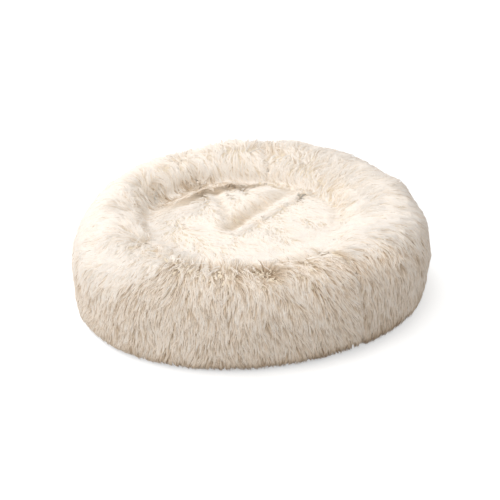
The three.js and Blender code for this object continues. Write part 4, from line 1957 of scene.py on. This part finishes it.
@dataclass
class Base:
    """Woven base cloth and the binding round its edge."""

    form: BedForm
    cloth_top: float = 0.00165
    thickness: float = 0.0014
    cells: int = 72
    pucker: float = 0.00012
    puckers: int = 64
    pucker_power: int = 12
    binding_out: float = 0.0022
    binding_middle: float = 0.0018
    binding_size: Pair = (0.0017, 0.0015)
    gather: float = 0.07
    gathers: int = 210

    def at(self, radius: Array, azimuth: Array, height: Array) -> Array:
        """Points of the flat base, which doesn't shift with the hollow.

        Args:
            radius: Section radii.
            azimuth: Azimuths in radians.
            height: Heights above the floor.

        Returns:
            The points.
        """
        places = self.form.place(radius, np.zeros(radius.shape), azimuth)
        places[:, 0] += self.form.left_shift(radius)
        places[:, 2] = height
        return places

    def sheet(self, name: str) -> Piece:
        """Flat base cloth with faint puckers along its sewn edge.

        Args:
            name: Name of the piece.

        Returns:
            The piece.
        """
        form = self.form
        piece, u, v = flat_grid(name, self.cells, self.cells)
        u, v = 2 * u - 1, 2 * v - 1
        x, y = u * np.sqrt(1 - v * v / 2), v * np.sqrt(1 - u * u / 2)
        share, azimuth = np.hypot(x, y), np.arctan2(y, x)
        pucker = self.pucker * np.sin(azimuth * self.puckers) * share ** self.pucker_power
        height = self.cloth_top + pucker - self.pucker
        move_vertices(piece, self.at(share * form.base_radius, azimuth, height))
        finish_with(piece, "SOLIDIFY", thickness=self.thickness, offset=-1.0)
        smooth(piece, 40)
        place_on_bed(piece, Body.BED, "base_cloth")
        return piece

    def binding(self, name: str) -> Piece:
        """Binding tape folded round the seam of the foot, gathered by its stitches.

        Args:
            name: Name of the piece.

        Returns:
            The piece.
        """
        tube = 0.25
        piece = primitive(name, bpy.ops.mesh.primitive_torus_add, major_segments=420,
                          minor_segments=10, major_radius=1.0, minor_radius=tube)
        x, y, z = coordinates(piece).T
        azimuth = np.arctan2(y, x)
        gather = 1 + self.gather * np.sin(azimuth * self.gathers)
        wide, tall = self.binding_size
        out = (np.hypot(x, y) - 1) / tube * wide * gather
        radius = self.form.base_radius + self.binding_out + out
        height = self.binding_middle + z / tube * tall * gather
        move_vertices(piece, self.at(radius, azimuth, height))
        smooth(piece)
        place_on_bed(piece, Body.BED, "base_binding")
        return piece

    def build(self, wardrobe: Wardrobe, cloth: Finish, tape: Finish) -> list[Piece]:
        """Build and dress the base."""
        return [wardrobe.dress(self.sheet("base_sheet"), cloth),
                wardrobe.dress(self.binding("base_binding_tape"), tape)]


@dataclass
class Zip:
    """The zip at the back of the foot: tapes, teeth, stitches, stops, slider and pull."""

    line: ZipLine
    tooth_pitch: float = 0.0022
    stitch_pitch: float = 0.0030
    stitch_inset: float = 0.0018
    stitch_share: float = 0.36
    stitch_lift: float = 0.0001
    thread: float = 0.00022
    tape_faces: tuple[int, int] = (160, 6)
    ripple: float = 0.00006
    ripple_waves: float = 520
    ripple_foot: float = 0.3

    def tape(self, name: str, bottom: float, node: str) -> Piece:
        """One woven tape of the zip.

        Args:
            name: Name of the piece.
            bottom: Height of its lower edge.
            node: CAD node that it stands for.

        Returns:
            The piece.
        """
        line = self.line
        piece, across, up = flat_grid(name, *self.tape_faces)
        along = (across - 0.5) * (line.chain + 2 * line.tail)
        height = bottom + up * line.tape_height
        ripple = self.ripple * np.sin(along * self.ripple_waves) * (self.ripple_foot + up)
        move_vertices(piece, line.point(ripple, height, along))
        layer = piece.data.uv_layers.active or piece.data.uv_layers.new()
        layer.name = CLOTH_UV
        corners = np.empty(len(piece.data.loops), dtype=np.int32)
        piece.data.loops.foreach_get("vertex_index", corners)
        put(layer.data, "uv", np.stack([along, height], -1)[corners])
        finish_with(piece, "SOLIDIFY", thickness=line.tape_thickness, offset=0.0)
        smooth(piece, 40)
        place_on_bed(piece, Body.BED, node)
        return piece

    def tooth(self) -> Array:
        """Rings of corners (out, up, along) of one coil tooth, a nylon loop round the edge.

        Returns:
            The rings, (4, 7, 3).
        """
        half, tall = self.line.coil_width / 2, self.line.coil_height
        wide = self.tooth_pitch * 0.3
        near = wide * 0.55
        outline = ((-half, 0.0), (half * 0.7, 0.0), (half, tall * 0.3), (half, tall * 0.7),
                   (half * 0.55, tall), (-half * 0.55, tall), (-half, tall * 0.7))
        return np.array([
            [(out * shrink, (up - tall / 2) * shrink, shift) for out, up in outline]
            for shift, shrink in ((-wide, 0.8), (-near, 1.0), (near, 1.0), (wide, 0.8))
        ])

    def stitch(self) -> Array:
        """Rings of corners (out, up, along) of one short stitch on the tape's outer face.

        Returns:
            The rings, (4, 4, 3).
        """
        face = self.line.tape_thickness / 2 + self.stitch_lift
        reach = self.stitch_pitch * self.stitch_share
        thick = ((-1.0, 0.25), (-0.6, 1.0), (0.6, 1.0), (1.0, 0.25))
        return np.array([
            [(face + self.thread * size * math.sin(turn), self.thread * size * math.cos(turn),
              share * reach) for turn in np.radians([45, 135, 225, 315])]
            for share, size in thick
        ])

    def beads(self, name: str, rings: Array, length: float, pitch: float,
              heights: Iterable[float], *nodes: str) -> Piece:
        """Rows of one small closed shape along the zip.

        Args:
            name: Name of the piece.
            rings: Rings of the shape's corners, (rings, corners, 3) for out, up and along.
            length: Length of a row.
            pitch: Distance between the shapes.
            heights: Height of each row.
            nodes: CAD nodes that the rows stand for.

        Returns:
            The piece.
        """
        turns, sides = rings.shape[:2]
        ends = [tuple(reversed(range(sides))), tuple(range((turns - 1) * sides, turns * sides))]
        bead = [(s * sides + k, s * sides + n, (s + 1) * sides + n, (s + 1) * sides + k)
                for s in range(turns - 1) for k, n in ((k, (k + 1) % sides) for k in range(sides))]
        out, up, shift = rings.reshape(-1, 3).T
        count = int(length / pitch)
        points, faces = [], []
        for height in heights:
            for k in range(count):
                first = len(points) * len(out)
                along = (k + 0.5 - count / 2) * pitch
                points.append(self.line.point(out, height + up, along + shift))
                faces += [tuple(corner + first for corner in face) for face in (*bead, *ends)]
        mesh = bpy.data.meshes.new(name)
        mesh.from_pydata(np.concatenate(points).tolist(), [], faces)
        piece = linked(name, mesh)
        mend(piece)
        place_on_bed(piece, Body.BED, *nodes)
        return piece

    def teeth(self, name: str, bottom: float, up: int, node: str) -> Piece:
        """Row of coil teeth along one tape.

        Args:
            name: Name of the piece.
            bottom: Height of the row's lower side.
            up: 1 where the teeth point up, -1 where they point down.
            node: CAD node that it stands for.

        Returns:
            The piece.
        """
        rings = self.tooth() * np.array([1, up, 1])
        height = bottom + self.line.coil_height / 2
        piece = self.beads(name, rings, self.line.chain, self.tooth_pitch, (height,), node)
        smooth(piece, 40)
        return piece

    def stitches(self, name: str, heights: Iterable[float]) -> Piece:
        """Rows of short sewing stitches that hold the tapes.

        Args:
            name: Name of the piece.
            heights: Height of each row.

        Returns:
            The piece.
        """
        length = self.line.chain + 2 * self.line.tail
        piece = self.beads(name, self.stitch(), length, self.stitch_pitch, heights)
        smooth(piece)
        return piece

    def bevelled(self, name: str, node: str, body: Body, width: float) -> Piece:
        """Copy of a rigid CAD node with its edges rounded.

        Args:
            name: Name of the piece.
            node: CAD node to copy.
            body: Body that it rides on.
            width: Width of the rounding.

        Returns:
            The piece.
        """
        piece = linked(name, frame["nodes"][node].data.copy())
        piece.data.name = name
        piece.data.materials.clear()
        mend(piece, partial(bpy.ops.mesh.remove_doubles, threshold=0.00001),
             partial(bpy.ops.mesh.dissolve_limited, angle_limit=math.radians(1)))
        finish_with(piece, "BEVEL", width=width, segments=2, limit_method="ANGLE",
                    angle_limit=math.radians(30))
        smooth(piece, 35)
        place_on_bed(piece, body, node)
        return piece

    def build(self, wardrobe: Wardrobe, tape: Finish, nylon: Finish,
              metal: Finish) -> list[Piece]:
        """Build and dress the zip.

        Args:
            wardrobe: Keeper of the finishes.
            tape: Finish of tapes and stitches.
            nylon: Finish of the teeth.
            metal: Finish of slider, pull and stops.

        Returns:
            The pieces.
        """
        line = self.line
        rows = (line.tape_foot + self.stitch_inset, line.top - self.stitch_inset)
        under = line.mid_height - line.gap / 2 - line.coil_height
        over = line.mid_height + line.gap / 2
        upper = line.top - line.tape_height
        dressed = [
            (self.tape("zip_tape_cloth_lower", line.tape_foot, "zip_tape_lower"), tape),
            (self.tape("zip_tape_cloth_upper", upper, "zip_tape_upper"), tape),
            (self.stitches("zip_stitches", rows), tape),
            (self.teeth("zip_teeth_lower", under, 1, "zip_coil_lower"), nylon),
            (self.teeth("zip_teeth_upper", over, -1, "zip_coil_upper"), nylon),
            (self.bevelled("zip_stop_closed_end", "zip_top_stop", Body.BED, 0.00015), metal),
            (self.bevelled("zip_stop_open_end", "zip_bottom_stop", Body.BED, 0.00015), metal),
            (self.bevelled("zip_slider_body", "zip_slider", Body.SLIDER, 0.0002), metal),
            (self.bevelled("zip_pull_tab", "zip_pull", Body.PULL, 0.00025), metal),
        ]
        return [wardrobe.dress(piece, finish) for piece, finish in dressed]


def aimed(name: str, data: bpy.types.ID, place: Place, aim: Place) -> Piece:
    """A camera or lamp at a place, turned towards its aim.

    Args:
        name: Name of the object.
        data: Its camera or light.
        place: Where it stands.
        aim: What it looks at.

    Returns:
        The object.
    """
    item = linked(name, data)
    item.location = place
    item.rotation_euler = (Vector(aim) - Vector(place)).to_track_quat("-Z", "Y").to_euler()
    return item


@dataclass(frozen=True)
class Studio:
    """Floor, backdrop light, lamps and the camera of the photograph."""

    camera_place: Place = (0.0, -2.1866, 1.2120)
    camera_aim: Place = (-0.0045, 0.0, 0.0770)
    lens: float = 106.8
    sensor: float = 36.0
    floor_size: float = 30.0
    world_level: float = 0.565
    lamp_aim: Place = (0, 0, 0.08)

    def camera(self) -> None:
        """Add the camera at the photograph's viewing angle."""
        data = bpy.data.cameras.new("camera")
        data.lens = self.lens
        data.sensor_width = self.sensor
        data.dof.use_dof = False
        bpy.context.scene.camera = aimed("camera", data, self.camera_place, self.camera_aim)

    def lamp(self, name: str, place: Place, size: float, energy: float) -> None:
        """Add a white square area lamp aimed at the bed.

        Args:
            name: Name of the lamp.
            place: Where it hangs.
            size: Side of the square.
            energy: Power in watts.
        """
        data = bpy.data.lights.new(name, "AREA")
        data.shape = "SQUARE"
        data.size = size
        data.energy = energy
        aimed(name, data, place, self.lamp_aim)

    def world(self) -> None:
        """Light the scene softly, and show white to the camera and to reflections."""
        world = bpy.data.worlds.new("studio")
        bpy.context.scene.world = world
        world.use_nodes = True
        tree = Tree(world.node_tree)
        path = tree.add("NodeLightPath").outputs
        mirrored = tree.math("MAXIMUM", path["Is Glossy Ray"], path["Is Transmission Ray"])
        seen = tree.math("MAXIMUM", path["Is Camera Ray"], mirrored)
        back = next(n for n in world.node_tree.nodes if n.type == "BACKGROUND")
        tree.give(back.inputs["Color"], (1, 1, 1))
        tree.give(back.inputs["Strength"], tree.between(seen, self.world_level, 1.0))

    def build(self, paper: Finish) -> None:
        """Set up the whole studio, with a pale floor that keeps the bed's shadow.

        Args:
            paper: Finish of the floor.
        """
        bpy.context.scene.view_settings.view_transform = "Standard"
        self.camera()
        self.world()
        floor = primitive("floor", bpy.ops.mesh.primitive_plane_add,
                          size=self.floor_size, location=(0, 0, 0))
        floor.data.materials.append(paper.material())
        self.lamp("soft_box_above", (-0.6, 0.35, 2.3), 1.6, 30)
        self.lamp("soft_box_left", (-2.3, -1.0, 1.2), 1.4, 25)


FUR = PileFinish("long_pile_cream", Slot.FUR)
KNIT = CloudedFinish(
    "pile_backing_knit", Slot.FUR, (0.84, 0.77, 0.67), (0.93, 0.88, 0.80), 0.7,
    (("Scale", 420.0), ("Detail", 4.0), ("Roughness", 0.6)),
    rough=(0.95, 0.95), relief=(0.6, 0.001), specular=0.15)
BASE_CLOTH = WovenFinish("base_cloth_grey_brown", Slot.BASE, (0.46, 0.42, 0.38), (0.28, 0.25, 0.22))
BINDING = WovenFinish("binding_grey_brown", Slot.BINDING, (0.42, 0.38, 0.34), (0.25, 0.22, 0.19),
                      pitch=0.0008)
TAPE = WovenFinish("zip_tape_cream", Slot.TAPE, (0.90, 0.85, 0.77), (0.70, 0.63, 0.53),
                   pitch=0.0005, slub=0.6, on_cloth_map=True)
LINING = WovenFinish("lining_off_white", Slot.LINING, (0.93, 0.92, 0.89), (0.78, 0.77, 0.73),
                     pitch=0.0007)
WADDING = CloudedFinish(
    "white_wadding", Slot.FILLING, (0.84, 0.84, 0.83), (0.96, 0.96, 0.955), 0.6,
    (("Scale", 90.0), ("Detail", 8.0), ("Roughness", 0.7), ("Distortion", 1.5)),
    rough=(0.9, 0.9), relief=(0.5, 0.002))
NYLON = CloudedFinish(
    "coil_nylon", Slot.COIL, (0.80, 0.75, 0.66), (0.90, 0.86, 0.78), 0.6,
    (("Scale", 300.0), ("Detail", 2.0)), rough=(0.28, 0.42))
NICKEL = NickelFinish("nickel_plate", Slot.METAL)
PAPER = FloorFinish("floor_paper", None, (0.70, 0.70, 0.70), 0.5)
INNER = {"rim_liner": LINING, "cushion_casing": LINING,
         "rim_filling": WADDING, "cushion_filling": WADDING}


def main() -> None:
    """Build the bed's pieces in order, and the studio round them."""
    logging.basicConfig(level=logging.INFO, format="%(message)s")
    form, line = BedForm(), ZipLine()
    wardrobe = Wardrobe()
    Studio().build(PAPER)
    pieces = RimCover(form, line).build(wardrobe, FUR, KNIT)
    pieces += CushionCover(form).build(wardrobe, FUR, KNIT)
    pieces += Base(form).build(wardrobe, BASE_CLOTH, BINDING)
    pieces += Zip(line).build(wardrobe, TAPE, NYLON, NICKEL)
    for node, finish in INNER.items():
        wardrobe.dress(frame["nodes"][node], finish)
    total = 0
    for piece in pieces:
        piece.data.calc_loop_triangles()
        count = len(piece.data.loop_triangles)
        total += count
        LOG.info("%s: %d triangles", piece.name, count)
    LOG.info("all pieces: %d triangles", total)


if __name__ == "__main__":
    main()
